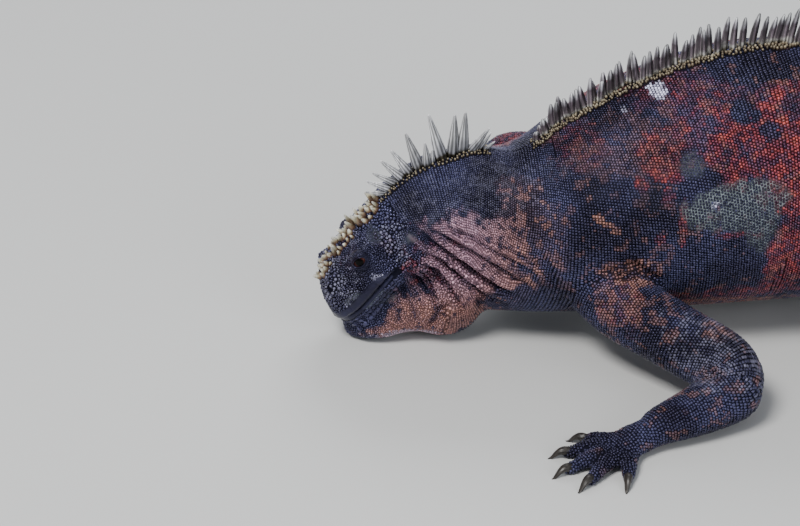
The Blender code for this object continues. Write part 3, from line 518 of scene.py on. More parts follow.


# the animal's markings, as masks for brick red, tan, shed skin and pale; the pale mask also holds painted glints, the
# black mask a painted shadow, and the neck's folds a painted highlight and shade

# each patch: centre x, y, z and reach along x, y, z in millimetres, its strength, and the share of scales it takes
markPatches = {
    "red": [
        (206, -40, 118, 34, 40, 17, 0.9, 0.9), (228, -44, 110, 24, 40, 28, 1.0, 0.95),
        (166, -36, 112, 17, 30, 10, 0.7, 0.7), (165, -46, 104, 9, 20, 3.6, 0.95, 1.0),
        (151, -44, 99, 3.4, 20, 3.2, 0.9, 1.0), (224, -60, 62, 10, 24, 24, 0.85, 1.0),
        (200, -52, 34, 30, 30, 7, 0.6, 0.8), (171, -56, 82, 2.2, 20, 14, 0.75, 0.8),
        (164, -52, 95, 3.2, 20, 5, 0.8, 0.9), (197, -58, 75, 11, 20, 2.4, 0.8, 0.9),
        (160, -56, 74, 2.2, 16, 2.4, 0.9, 1.0), (125, -18, 110, 14, 22, 9, 0.3, 0.6), (58, -27, 50, 24, 16, 22, 0.3, 0.5),
        (42, -22, 49, 5, 14, 12, 0.75, 0.65), (45, -24, 41, 4, 14, 8, 0.55, 0.6),
        (12, -17, 52, 5, 14, 9, 0.35, 0.5), (30, -22, 62, 7, 14, 5, 0.2, 0.5), (250, -45, 105, 30, 40, 26, 0.9, 0.9), (290, -50, 92, 30, 40, 26, 0.8, 0.85),
        (318, -40, 60, 28, 40, 18, 0.6, 0.8), (350, -30, 84, 18, 30, 16, 0.6, 0.8),
        (270, -50, 42, 50, 40, 10, 0.6, 0.8), (345, -70, 58, 20, 26, 13, 0.55, 0.7),
        (190, -16, 131, 60, 26, 7, 0.26, 0.8), (139, -70, 43, 13, 20, 9, 0.32, 0.6),
        (108, 70, 70, 14, 22, 14, 0.7, 0.9), (106, 34, 90, 12, 20, 6, 0.4, 0.7),
    ],
    "black": [
        (205, -33, 129, 7.5, 20, 5.5, 1.0, 1.0), (216, -43, 122, 7, 20, 4, 0.95, 1.0), (176, -47, 108, 8, 18, 7, 1.0, 1.0),
        (193, -60, 62, 19, 26, 13, 1.0, 1.0), (186, -36, 124, 9, 20, 3.2, 0.8, 0.8), (232, -44, 131, 9, 20, 5, 0.8, 1.0),
        (198, -46, 115, 5, 20, 2.6, 0.7, 0.8), (180, -44, 118, 5, 20, 3.4, 0.7, 0.8),
        (138, -12, 119, 16, 20, 6, 0.6, 0.8), (246, -58, 84, 13, 20, 14, 0.9, 1.0), (278, -50, 112, 11, 30, 8, 0.9, 1.0), (300, -50, 74, 13, 30, 11, 0.8, 1.0),
        (262, -46, 122, 7, 30, 5, 0.8, 1.0), (338, -40, 74, 9, 30, 9, 0.8, 1.0), (18, -18, 52, 17, 30, 24, 0.7, 1.0),
        # painted shadow: the black patch at x 106, low on the neck, darkens where the neck's underside lies in shade
        (16, -18, 34, 17, 30, 14, 0.85, 1.0), (151, -55, 88, 20, 20, 12, 0.55, 1.0), (106, -33, 28, 22, 24, 16, 0.95, 1.0),
    ],
    "tan": [
        (130.5, -47, 83, 2.6, 14, 2.2, 0.8, 1.0), (134.5, -49, 80.5, 2.8, 14, 1.6, 0.9, 1.0), (138.5, -51, 77.5, 2.4, 14, 2.0, 0.6, 1.0), (149, -54, 57, 14, 18, 6.5, 0.62, 0.62), (139, -70, 43, 13, 20, 9, 0.4, 0.6), (150, -30, 112, 28, 24, 14, 0.17, 0.6),
        (182, -86, 42, 7, 16, 6, 0.4, 0.4), (99, -38, 79, 17, 20, 13, 0.5, 0.27), (74, -32, 50, 32, 20, 26, 0.78, 0.88), (92, -34, 40, 14, 20, 12, 0.75, 0.9),
        (46, -22, 8, 22, 30, 7, 0.95, 1.0), (56, -22, 20, 22, 30, 13, 0.7, 0.9), (84, -28, 30, 20, 20, 14, 0.6, 0.8),
        (200, -50, 25, 44, 40, 7, 0.5, 0.7), (104, -42, 62, 12, 20, 8, 0.35, 0.35), (250, -20, 10, 80, 60, 12, 0.3, 1.0),
        (176, -106, 24, 8, 10, 8, 0.2, 0.3), (95, -29, 88, 12, 20, 7, 0.5, 0.27), (60, -26, 68, 10, 14, 6, 0.4, 0.45),
    ],
    "shed": [
        (191, -59, 89, 21, 22, 11, 0.9, 1.0), (209, -58, 96, 13, 20, 9, 0.9, 1.0), (178, -58, 85, 8, 20, 6, 0.8, 0.9), (211, -60, 82, 8, 20, 15, 0.85, 1.0),
        (41, -26, 67, 4, 10, 4, 0.35, 1.0), (24, -20, 29, 13, 10, 6.5, 0.5, 1.0), (24, -17, 64, 4, 8, 3.4, 0.34, 1.0),
        (176, -48, 108, 7.5, 20, 6, 0.5, 1.0), (157, -49, 98, 15, 20, 9, 0.10, 1.0), (133, -36, 101, 15, 22, 11, 0.06, 1.0),
        (262, -60, 66, 13, 20, 9, 0.7, 1.0), (310, -50, 96, 9, 20, 7, 0.5, 1.0),
    ],
    "paleAndGlint": [
        # painted glints: the faint pale patches on the snout, temple, nape and arm and the one above the upper lip
        # stand for glints on wet scales; the others are pale spots of the hide
        (164.0, -4, 132.0, 2.0, 9, 2.0, 1.0, 1.0), (169.2, -6, 132.2, 2.0, 9, 1.8, 1.0, 0.8), (166.5, -9, 130.4, 3.2, 9, 1.7, 1.0, 0.8), (26.5, -21, 43, 4.6, 12, 2.6, 0.5, 0.85),
        (149.8, -11, 123.6, 1.1, 8, 1.1, 0.35, 1.0), (186, -59, 92, 1.8, 9, 1.6, 0.8, 1.0), (204, -36, 135, 2.2, 9, 1.4, 0.7, 1.0),
        (33, -24, 65, 6, 12, 9, 0.12, 0.6), (9, -16, 38, 10, 20, 12, 0.18, 0.34), (14, -17, 60, 9, 16, 8, 0.10, 0.5), (38, -25, 56, 5, 12, 5, 0.14, 0.6),
        (42, -22, 6, 16, 30, 3.0, 0.35, 1.0), (62, -22, 84, 26, 20, 14, 0.06, 0.45), (88, -24, 92, 26, 24, 14, 0.05, 0.45), (182, -98, 32, 28, 24, 20, 0.10, 0.5),
    ],
}
markForm = {"warp": 13.0, "warpAmount": 0.7, "fine": 3.6, "fineAmount": 0.5, "rightShift": 17.0, "fleck": 2.5, "ragged": 0.3}


def latticeNoise(points, size, seed):
    # smooth noise from 0 to 1 at points in millimetres, the same every run
    grid = points / size + seed * 17.31
    cell = np.floor(grid).astype(np.int64)
    part = grid - cell
    part = part * part * (3 - 2 * part)
    total = np.zeros(len(points))
    for i in (0, 1):
        for j in (0, 1):
            for k in (0, 1):
                mixed = ((cell[:, 0] + i) * 73856093) ^ ((cell[:, 1] + j) * 19349663) ^ ((cell[:, 2] + k) * 83492791)
                mixed = (mixed ^ (mixed >> 13)) * 1274126177
                share = ((mixed ^ (mixed >> 16)) & 0xFFFF) / 65535.0
                weight = ((part[:, 0] if i else 1 - part[:, 0]) * (part[:, 1] if j else 1 - part[:, 1])
                          * (part[:, 2] if k else 1 - part[:, 2]))
                total += weight * share
    return total


def markings(form, jitter):
    # red, tan, shed and pale masks at points in millimetres, the pale one partly painted glints; jitter varies from
    # scale to scale
    right = form[:, 1] > 0
    place = form.copy()
    place[:, 1] = -np.abs(place[:, 1])
    place[:, 0] += np.where(right & (form[:, 0] > 110), markForm["rightShift"], 0.0)
    warp = (latticeNoise(form, markForm["warp"], 3) - 0.5) * markForm["warpAmount"] * 2
    warp += (latticeNoise(form, markForm["fine"], 5) - 0.5) * markForm["fineAmount"] * 2
    masks = {}
    for order, (kind, patches) in enumerate(markPatches.items()):
        mask = np.zeros(len(form))
        draw = 0.5 + 1.5 * (latticeNoise(form, 2.4, 40 + order) - 0.5) + 0.12 * jitter
        ragged = markForm["ragged"] if kind == "paleAndGlint" else 0.04
        for x, y, z, reachX, reachY, reachZ, strength, share in patches:
            # a patch placed on the right is only there, the others are on both sides
            at = form if y > 0 else place
            away = np.sqrt(((at[:, 0] - x) / reachX) ** 2 + ((at[:, 1] - y) / reachY) ** 2
                           + ((at[:, 2] - z) / reachZ) ** 2)
            taken = 0.14 + 0.86 * smoothStep(share + 0.1, share - 0.1, draw)
            mask = np.maximum(mask, strength * taken * smoothStep(1.14, 0.86, away + 0.5 * warp + ragged * jitter))
        masks[kind] = mask
    # red breaks up into flecks, and where no patch is placed the hide is brown-black with a few of them
    fleck = smoothStep(0.30, 0.62, latticeNoise(form, markForm["fleck"], 21) + 0.08 * jitter)
    masks["red"] *= 0.4 + 0.6 * fleck
    rear = smoothStep(330, 420, form[:, 0])
    masks["red"] = np.maximum(masks["red"], rear * 0.5 * smoothStep(0.58, 0.7, latticeNoise(form, 7.0, 9) + 0.1 * jitter))
    body = smoothStep(100, 130, form[:, 0])
    speckle = smoothStep(0.64, 0.76, latticeNoise(form, 4.4, 14) + 0.14 * jitter)
    masks["tan"] = np.maximum(masks["tan"], 0.26 * body * speckle)
    # painted highlight and shade: the neck's folds are tan, and a painted highlight makes their banks pinker while a
    # painted shade takes tan out of their beds
    folds = creaseDepth(form) * smoothStep(118, 104, form[:, 0])
    masks["tan"] = masks["tan"] * (1 - 0.6 * smoothStep(0.5, 2.0, folds)) + 0.3 * smoothStep(0.1, 0.8, -folds)
    keep = 1 - masks["black"] * (1 - 0.3 * masks["shed"])
    return np.column_stack([masks["red"] * keep, masks["tan"] * keep, masks["shed"], masks["paleAndGlint"]])


# what repeats is modelled once, then copied over the skin

def selectFaces(obj, test):
    bpy.ops.object.mode_set(mode="OBJECT")
    for face in obj.data.polygons:
        face.select = test(face)
    bpy.ops.object.mode_set(mode="EDIT")
    bpy.ops.mesh.select_mode(type="FACE")


def shapeData(obj):
    # points and faces of a modelled shape, which is then removed
    mesh = obj.data
    points = np.array([v.co for v in mesh.vertices], float)
    faces = [list(p.vertices) for p in mesh.polygons]
    bpy.data.objects.remove(obj, do_unlink=True)
    bpy.data.meshes.remove(mesh)
    points[:, 2] -= points[:, 2].min()
    points[:, 2] /= points[:, 2].max()
    return np.column_stack([points, np.zeros(len(points))]), faces


def modelScale(drawn, raised):
    # a square block, drawn in at the top and raised to a soft point
    deselectAll()
    bpy.ops.mesh.primitive_cube_add(size=1.0)
    scale = bpy.context.active_object
    selectFaces(scale, lambda face: face.normal.z > 0.9)
    bpy.ops.transform.resize(value=(drawn, drawn, 1.0))
    bpy.ops.mesh.poke(offset=raised)
    bpy.ops.object.mode_set(mode="OBJECT")
    return shapeData(scale)


def modelBead(sides, drawn, raised):
    # a round block, drawn in at the top and raised to a soft point
    deselectAll()
    bpy.ops.mesh.primitive_cylinder_add(vertices=sides, radius=0.5, depth=1.0)
    bead = bpy.context.active_object
    selectFaces(bead, lambda face: face.normal.z > 0.9)
    bpy.ops.transform.resize(value=(drawn, drawn, 1.0))
    bpy.ops.mesh.poke(offset=raised)
    bpy.ops.object.mode_set(mode="OBJECT")
    return shapeData(bead)


def modelSpine(sides, profile):
    # a round base, extruded up in steps and drawn in at each of them, and closed at the tip
    deselectAll()
    bpy.ops.mesh.primitive_cylinder_add(vertices=sides, radius=0.5, depth=profile[1][0] * 2)
    spine = bpy.context.active_object
    selectFaces(spine, lambda face: face.normal.z > 0.9)
    bpy.ops.transform.resize(value=(profile[1][1], profile[1][1], 1.0))
    for (low, wide), (high, narrow) in zip(profile[1:], profile[2:]):
        bpy.ops.mesh.extrude_region_move(TRANSFORM_OT_translate={"value": (0, 0, high - low)})
        bpy.ops.transform.resize(value=(narrow / wide, narrow / wide, 1.0))
    bpy.ops.mesh.poke(offset=0.04)
    bpy.ops.object.mode_set(mode="OBJECT")
    return shapeData(spine)


def fluted(shape, depth):
    # every other corner of a spine is drawn in, which leaves grooves from root to tip
    points, faces = shape
    turn = np.arctan2(points[:, 1], points[:, 0])
    corners = len(set(np.round(turn, 2)))
    groove = np.round(turn / (2 * math.pi) % 1 * (corners - corners % 2)) % 2
    points[:, :2] *= (1 - depth * groove)[:, None]
    points[:, 3] = groove
    return points, faces


scaleShape = modelScale(0.74, 0.42)
beadShape = modelBead(6, 0.68, 0.34)
plateShape = modelScale(0.86, 0.12)
scuteShape = modelSpine(6, [(0, 1.0), (0.16, 0.93), (0.46, 0.62), (0.80, 0.24)])
spineShape = fluted(modelSpine(16, [(0, 1.0), (0.1, 0.96), (0.26, 0.86), (0.44, 0.71), (0.62, 0.54), (0.8, 0.36),
                                    (0.93, 0.2)]), 0.2)
bladeShape = fluted(modelSpine(8, [(0, 0.96), (0.16, 1.0), (0.46, 0.94), (0.74, 0.75), (0.93, 0.40)]), 0.2)


class Coat:
    # places for one kind of scale: where, which way, how big, and where on the unwrapped skin
    def __init__(self):
        self.rows = []

    def add(self, place, normal, along, length, width, height, unwrap, lean=0.0):
        self.rows.append((*place, *normal, *along, length, width, height, *unwrap, lean))

    def table(self):
        return np.array(self.rows, float).reshape(-1, 15)


def stampPiece(name, shape, rows, materialUsed, seed, sunk=0.35, bend=0.0, unevenness=0.1, tilt=0.09,
               mostFaces=190000):
    # one mesh, or more where it would grow too big, with a copy of the shape at every row
    points, faces = shape
    triangles = sum(len(f) - 2 for f in faces)
    pieces = max(1, math.ceil(len(rows) * triangles / mostFaces))
    made = []
    for part, chosen in enumerate(np.array_split(rows, pieces)):
        label = name if pieces == 1 else f"{name}_{part + 1}"
        made.append(stampMesh(label, points, faces, chosen, materialUsed, seed + part, sunk, bend,
                              unevenness, tilt))
    return made


def stampMesh(name, points, faces, rows, materialUsed, seed, sunk, bend, unevenness, tilt):
    rng = np.random.RandomState(seed)
    count, corners = len(rows), len(points)
    place, normal, along = rows[:, 0:3], rows[:, 3:6], rows[:, 6:9]
    length, width, height, unwrap, lean = rows[:, 9], rows[:, 10], rows[:, 11], rows[:, 12:14], rows[:, 14]
    # every scale leans its own way a little, so that the light catches each differently
    normal = normal + rng.normal(0, tilt, (count, 3))
    normal = normal / np.linalg.norm(normal, axis=1)[:, None]
    along = along - normal * (along * normal).sum(axis=1)[:, None]
    along = along / np.linalg.norm(along, axis=1)[:, None]
    swing = rng.uniform(-unevenness, unevenness, count) * 1.3
    across = np.cross(normal, along)
    along, across = (along * np.cos(swing)[:, None] + across * np.sin(swing)[:, None],
                     across * np.cos(swing)[:, None] - along * np.sin(swing)[:, None])
    length = length * rng.uniform(1 - unevenness, 1 + unevenness, count)
    width = width * rng.uniform(1 - unevenness, 1 + unevenness, count)
    height = height * rng.uniform(1 - 2 * unevenness, 1 + 2 * unevenness, count)
    place = (place + along * (length * rng.uniform(-unevenness, unevenness, count))[:, None]
             + across * (width * rng.uniform(-unevenness, unevenness, count))[:, None])
    x, y, z = points[:, 0], points[:, 1], points[:, 2]
    rise = z[None] * (1 + sunk) - sunk
    lift = rise * height[:, None]
    shift = x[None] * length[:, None] + rise.clip(0) * height[:, None] * np.tan(lean)[:, None]
    shift = shift + bend * (rise.clip(0) ** 2) * height[:, None]
    spots = (place[:, None] + along[:, None] * shift[..., None] + across[:, None] * (y[None] * width[:, None])[..., None]
             + normal[:, None] * lift[..., None])
    spots[..., 2] = np.maximum(spots[..., 2], 0.00002)
    sizes = np.array([len(f) for f in faces])
    flat = np.concatenate([np.array(f) for f in faces])
    loops = (flat[None] + (np.arange(count) * corners)[:, None]).ravel()
    starts = np.concatenate([[0], np.cumsum(np.tile(sizes, count))[:-1]])
    mesh = bpy.data.meshes.new(name)
    mesh.vertices.add(count * corners)
    mesh.vertices.foreach_set("co", spots.astype(np.float32).ravel())
    mesh.loops.add(len(loops))
    mesh.loops.foreach_set("vertex_index", loops.astype(np.int32))
    mesh.polygons.add(len(starts))
    mesh.polygons.foreach_set("loop_start", starts.astype(np.int32))
    mesh.update(calc_edges=True)
    mesh.validate()
    tone = rng.rand(count)
    marks = markings(toForm(place), rng.uniform(-1, 1, count))
    pointAttribute(mesh, "tone", np.repeat(tone, corners))
    pointAttribute(mesh, "rise", np.tile(z, count))
    if points[:, 3].any():
        pointAttribute(mesh, "groove", np.tile(points[:, 3], count))
    colours = mesh.attributes.new("marks", "FLOAT_COLOR", "POINT")
    colours.data.foreach_set("color", np.repeat(marks, corners, axis=0).astype(np.float32).ravel())
    patch = 0.003
    centre = unwrap[:, None] * 0.98 + 0.01 + np.stack([x, y], axis=1)[None] * patch
    layer = mesh.uv_layers.new(name="OFBake")
    layer.data.foreach_set("uv", centre.reshape(-1, 2)[loops].astype(np.float32).ravel())
    if name != "head_scutes":
        mesh.shade_smooth()
    obj = bpy.data.objects.new(name, mesh)
    bpy.context.scene.collection.objects.link(obj)
    mesh.materials.append(materialUsed)
    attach(obj, "root")
    return obj


def pointAttribute(mesh, name, values):
    mesh.attributes.new(name, "FLOAT", "POINT").data.foreach_set("value", values.astype(np.float32))


class Occupied:
    # which spots of the skin already carry a scale
    def __init__(self, cell=0.0036):
        self.cell, self.held = cell, {}

    def near(self, place, radius, spread):
        x, y, z = place
        a, b, c = (int(math.floor(v / self.cell)) for v in place)
        for i in (a - 1, a, a + 1):
            for j in (b - 1, b, b + 1):
                for k in (c - 1, c, c + 1):
                    for u, v, w, own in self.held.get((i, j, k), ()):
                        limit = (radius + own) * spread
                        if (u - x) ** 2 + (v - y) ** 2 + (w - z) ** 2 < limit * limit:
                            return True
        return False

    def hold(self, place, radius):
        key = tuple(int(math.floor(v / self.cell)) for v in place)
        self.held.setdefault(key, []).append((*place, radius))


# rows of small scales on the trunk, the tail and the legs

coatForm = {"rowStep": 0.93, "cover": 1.03, "height": 0.86, "ridgeClear": 2.3}
scalePitch = smoothCurve([(60, 1.2), (90, 1.22), (118, 1.28), (150, 1.44), (250, 1.6), (360, 1.8), (425, 2.1),
                          (500, 2.6), (600, 3.1), (800, 3.0), (950, 2.2), (1000, 1.6)])


def castRing(tree, centre, up, aside, turns):
    hits, normals = [], []
    for degrees in turns:
        turn = math.radians(degrees)
        hit, normal, _, _ = tree.ray_cast(centre, up * math.cos(turn) + aside * math.sin(turn))
        hits.append(hit if hit else (math.nan,) * 3)
        normals.append(normal if hit else (0, 0, 1))
    return np.array(hits), np.array(normals)


def layRow(coat, occupied, hits, normals, good, arcs, spots, backward, length, width, height, unwrapU, turns, share):
    # scales at given arc lengths of one cross-section, where the skin was found
    for spot in spots:
        i = int(np.searchsorted(arcs, spot)) - 1
        if i < 0 or i + 1 >= len(arcs) or not (good[i] and good[i + 1]):
            continue
        t = (spot - arcs[i]) / max(arcs[i + 1] - arcs[i], 1e-9)
        place = hits[i] * (1 - t) + hits[i + 1] * t
        normal = normals[i] * (1 - t) + normals[i + 1] * t
        normal /= np.linalg.norm(normal)
        along = backward - normal * (backward @ normal)
        size = np.linalg.norm(along)
        radius = min(width, length[i]) / 2
        if size < 0.2 or occupied.near(place, radius, 0.74):
            continue
        occupied.hold(place, radius)
        degrees = turns[i] * (1 - t) + turns[i + 1] * t
        coat.add(place, normal, along / size, length[i], width, height, (unwrapU, share(degrees)))


def trunkRows(occupied, first, last, coatOfSide, endPiece):
    distance, row = first, 0
    turns = [2.5 * k for k in range(73)]
    previous = {}
    while distance < last:
        centre, back, up, aside = frameAt(distance)
        pitch = scalePitch(distance)[0]
        step = pitch * coatForm["rowStep"] * (0.74 + 0.26 * float(smoothStep(106, 122, distance)))
        backward = np.array(back)
        for side in (-1, 1):
            middleSpot = Vector(toScene(centre))
            hits, normals = castRing(skinTree, middleSpot, up, aside * side, turns)
            plain, _ = castRing(trunkTree, middleSpot, up, aside * side, turns)
            good = np.linalg.norm(hits - plain, axis=1) < 0.0034
            arcs = np.concatenate([[0.0], np.cumsum(np.linalg.norm(np.diff(plain, axis=0), axis=1))])
            arcs = np.nan_to_num(arcs, nan=1e3)
            stretch = np.ones(len(turns))
            if side in previous:
                stretch = np.linalg.norm(plain - previous[side], axis=1) / (step * mm)
            previous[side] = plain
            if row % 2:
                good = good & (stretch > 0.66)
            length = np.clip(np.where(stretch < 0.66, stretch * 2, stretch), 0.55, 1.6) * step * mm * coatForm["cover"]
            spined = 1 - 0.85 * float(smoothStep(103, 106, distance) * smoothStep(128, 125, distance))
            clear = coatForm["ridgeClear"] * spined * min(1.0, section(distance)[0] / 30)
            shift = clear * mm + 0.5 * (row % 2) * pitch * mm
            spots = np.arange(shift, arcs[-1] if arcs[-1] < 1 else 0, pitch * mm)
            tail = smoothStep(430, 520, distance)
            height = (coatForm["height"] + 0.1 * float(tail)) * mm * pitch / 2.1
            layRow(coatOfSide[side], occupied, hits, normals, good, arcs, spots, backward, length,
                   pitch * mm * coatForm["cover"], height, (distance - first) / (last - first), turns,
                   lambda degrees, side=side: 0.5 + side * degrees / 362.0)
        distance += step
        row += 1


def legRowsOnSkin(occupied, path, coat, pitch, reach, band, rays=48):
    # rows round a leg, sole or toe; rows that meet the trunk or another row stop there
    stations = tubeStations(path, pitch * coatForm["rowStep"], 0.0, caps=False)
    turns = [180.0 + 360.0 * k / rays for k in range(rays + 1)]
    step, previous = pitch * coatForm["rowStep"], None
    for row, (centre, ahead, aside, up, halfWidth, halfHeight) in enumerate(stations):
        hits, normals = castRing(skinTree, Vector(toScene(centre)), up, aside, turns)
        apart = np.linalg.norm(hits - toScene(centre), axis=1) / mm
        good = apart < max(halfWidth, halfHeight) * reach + 1.6
        for i in np.nonzero(good)[0]:
            nearest, normal, _, _ = trunkTree.find_nearest(Vector(hits[i]))
            if (Vector(hits[i]) - nearest).dot(normal) < 0.0009:
                good[i] = False
        runs = np.linalg.norm(np.diff(hits, axis=0), axis=1)
        limit = 2.4 * 2 * math.pi * max(halfWidth, halfHeight) * mm / rays
        good[:-1] &= ~(runs > limit)
        arcs = np.concatenate([[0.0], np.cumsum(np.nan_to_num(runs, nan=limit))])
        fitted = arcs[-1] / max(4, round(arcs[-1] / (pitch * mm)))
        spots = np.arange(0.5 * fitted * (1 + row % 2), arcs[-1], fitted)
        stretch = np.ones(len(turns))
        if previous is not None:
            stretch = np.clip(np.nan_to_num(np.linalg.norm(hits - previous, axis=1) / (step * mm), nan=1.0), 0.8, 1.9)
        previous = hits
        length = stretch * step * mm * coatForm["cover"]
        layRow(coat, occupied, hits, normals, good, arcs, spots, -np.array(ahead), length,
               fitted * coatForm["cover"], coatForm["height"] * mm * pitch / 2.1, row / len(stations), turns,
               lambda degrees: (band[0] + 0.5 + (degrees - 360.0) / 370.0) / band[1])


def skinSamples(count, rng, wanted=None):
    # evenly scattered points of the skin with their normals, only where a function of the place wants them
    mesh = skin.data
    mesh.calc_loop_triangles()
    corners = np.empty(len(mesh.loop_triangles) * 3, np.int32)
    mesh.loop_triangles.foreach_get("vertices", corners)
    points = np.empty(len(mesh.vertices) * 3, np.float32)
    normals = np.empty(len(mesh.vertices) * 3, np.float32)
    mesh.vertices.foreach_get("co", points)
    mesh.vertices.foreach_get("normal", normals)
    corners = corners.reshape(-1, 3)
    points, normals = points.reshape(-1, 3).astype(float), normals.reshape(-1, 3).astype(float)
    a, b, c = points[corners[:, 0]], points[corners[:, 1]], points[corners[:, 2]]
    area = np.linalg.norm(np.cross(b - a, c - a), axis=1)
    if wanted is not None:
        area = area * wanted(toForm((a + b + c) / 3))
    chosen = rng.choice(len(corners), count, p=area / area.sum())
    u, v = rng.rand(count), rng.rand(count)
    flip = u + v > 1
    u, v = np.where(flip, 1 - u, u), np.where(flip, 1 - v, v)
    spots = a[chosen] + (b - a)[chosen] * u[:, None] + (c - a)[chosen] * v[:, None]
    blend = (normals[corners[chosen, 0]] * (1 - u - v)[:, None] + normals[corners[chosen, 1]] * u[:, None]
             + normals[corners[chosen, 2]] * v[:, None])
    return spots, blend / np.linalg.norm(blend, axis=1)[:, None]


def scatter(occupied, coat, samples, radii, spread, heightShare, unwrap):
    # darts at sampled points of the skin, kept where no other scale is near
    spots, normals = samples
    for spot, normal, radius, place in zip(spots, normals, radii, unwrap):
        if radius <= 0 or occupied.near(spot, radius, spread):
            continue
        occupied.hold(spot, radius)
        backward = np.array((1.0, 0.0, 0.25)) - normal * (normal[0] + 0.25 * normal[2])
        size = np.linalg.norm(backward)
        backward = backward / size if size > 0.05 else np.cross(normal, (0.0, 1.0, 0.0))
        coat.add(spot, normal, backward, radius * beadForm["drawn"], radius * beadForm["drawn"], radius * heightShare, place)


# the head's beads, by place

beadForm = {"samples": 240000, "spread": 0.79, "height": 1.0, "drawn": 2.26}


def headZones(form):
    # radius of the beads at points near the head, in millimetres
    along, above, aside = headCoordinates(form)
    side = np.abs(aside)
    radius = np.full(len(form), 0.72)
    radius = np.where(along < 11, 0.98, radius)
    radius = np.where((above > 13) & (side < 19) & (along > 10), 1.05, radius)
    radius = np.where((along > 44) & (above > 2) & (side > 12), 1.12, radius)
    jowl = np.linalg.norm((form - (41, -23, 46)) * (1, 0, 1) / (13, 1, 14), axis=1)
    radius = np.where((jowl < 1) & (side > 14), 0.9, radius)
    mouth = above - headForm["mouthLevel"]
    radius = np.where((mouth < -4) & (along < 48), 0.66, radius)
    radius = np.where(form[:, 2] < 22, 0.62, radius)
    for way in (-1, 1):
        centre = np.array(eyeAxes(way)[0])
        away = np.linalg.norm(form - centre, axis=1)
        radius = np.where(away < 14.5, 0.62, radius)
        radius = np.where(away < 9.0, 0.5, radius)
        radius = np.where(away < 5.4, 0.0, radius)
        ear, _, _ = trunkPoint(62.5, way * 80.0)
        away = np.linalg.norm(form - np.array(ear), axis=1)
        radius = np.where(away < 7.5, 0.6, radius)
        radius = np.where(away < 3.6, 0.0, radius)
        nostril, _, _ = trunkPoint(14.0, way * 44.0)
        radius = np.where(np.linalg.norm(form - np.array(nostril), axis=1) < 2.4, 0.0, radius)
    radius = np.where((mouth < 5.6 - 3.2 * smoothStep(26, 46, along)) & (mouth > -2.6) & (along < headForm["mouthCorner"]) & (side > 1), 0.0, radius)
    return radius


def headUnwrap(form):
    along, above, aside = headCoordinates(form)
    turn = np.arctan2(aside, above) / (2 * math.pi) + 0.5
    return np.column_stack([np.clip((along + 25) / 110, 0, 1), turn])


def coverHead(occupied):
    rng = np.random.RandomState(11)
    coat = Coat()
    samples = skinSamples(beadForm["samples"], rng, lambda form: (headCoordinates(form)[0] < 66) & (form[:, 0] < 60))
    form = toForm(samples[0])
    zone = headZones(form)
    chance = rng.rand(len(zone))
    for share, first, last in ((1.0, 0.0, 0.25), (0.78, 0.25, 0.5), (0.6, 0.5, 0.75), (0.42, 0.75, 1.0)):
        chosen = (chance >= first) & (chance < last)
        radii = zone[chosen] * share * rng.uniform(0.84, 1.2, chosen.sum()) * mm
        picked = samples[0][chosen], samples[1][chosen]
        scatter(occupied, coat, picked, radii, beadForm["spread"], beadForm["height"], headUnwrap(form[chosen]))
    return coat


# the lips are smooth bands, and rows of flat plates lie below the lower one

lipForm = {"plate": 3.0, "plateWidth": 2.5, "plateHeight": 0.5, "notch": 4.4}


def outOfHead(along, above, side):
    # where a line from inside the head meets the skin, straight aside or, near the tip, ahead
    turn = smoothStep(9.0, 0.0, along) * math.radians(78.0)
    inside = headPoint(7.0 if along < 9 else along, above, 0.0)
    ahead = headPoint(-math.sin(turn), 0, side * math.cos(turn)) - headPoint(0, 0, 0)
    hit, normal, _, _ = skinTree.ray_cast(Vector(toScene(inside)), ahead.normalized())
    return hit, normal


def lipBand(name, side, level, width, raised):
    # a strip that follows the skin from the middle of the snout to the corner of the mouth
    across = [-1.0, -0.8, -0.45, 0.0, 0.45, 0.8, 1.0]
    corners, rise = [], []
    stops = [0.75 * i for i in range(int(headForm["mouthCorner"] / 0.75))]
    for along in stops:
        end = float(smoothStep(30, 46.5, along))
        narrow = 1.0 - 0.82 * end
        notch = 1.0 - 0.3 * max(0.0, math.cos(2 * math.pi * along / lipForm["notch"])) ** 8
        for share in across:
            above = headForm["mouthLevel"] + level * (1 - 0.7 * end) + share * width / 2 * narrow
            hit, normal = outOfHead(along, above, side)
            height = raised * narrow * notch * math.sqrt(max(0.0, 1 - share ** 4)) - 0.25
            corners.append(hit + normal * height * mm)
            # painted shade: the rise that the lip's material reads is lowered towards the band's edges and in its
            # notches, which darkens them
            rise.append(0.66 * notch * (1 - 0.5 * abs(share) ** 3))
    count = len(across)
    faces = []
    for i in range(len(stops) - 1):
        for k in range(count - 1):
            first = i * count + k
            faces.append((first, first + count, first + count + 1, first + 1)[::side])
    mesh = bpy.data.meshes.new(name)
    mesh.from_pydata([tuple(c) for c in corners], [], faces)
    mesh.validate()
    band = bpy.data.objects.new(name, mesh)
    bpy.context.scene.collection.objects.link(band)
    pick(band)
    bpy.ops.object.mode_set(mode="EDIT")
    bpy.ops.mesh.select_all(action="SELECT")
    bpy.ops.mesh.normals_make_consistent(inside=False)
    bpy.ops.object.mode_set(mode="OBJECT")
    mesh.shade_smooth()
    return band, rise


def jawPlates(occupied, coat, level, side):
    along = 6.0
    while along < headForm["mouthCorner"] - 6:
        hit, normal = outOfHead(along, headForm["mouthLevel"] + level, side)
        back = (headPoint(1, 0, 0) - headPoint(0, 0, 0)).normalized()
        back = (back - normal * back.dot(normal)).normalized()
        occupied.hold(hit, lipForm["plateWidth"] * mm / 2)
        coat.add(hit, normal, back, lipForm["plate"] * mm, lipForm["plateWidth"] * mm, lipForm["plateHeight"] * mm,
                 (along / 60, 0.5 + 0.2 * side + 0.02 * level))
        along += lipForm["plate"] * 0.97


# spines and the head's cream scutes stand on the ridge or beside it

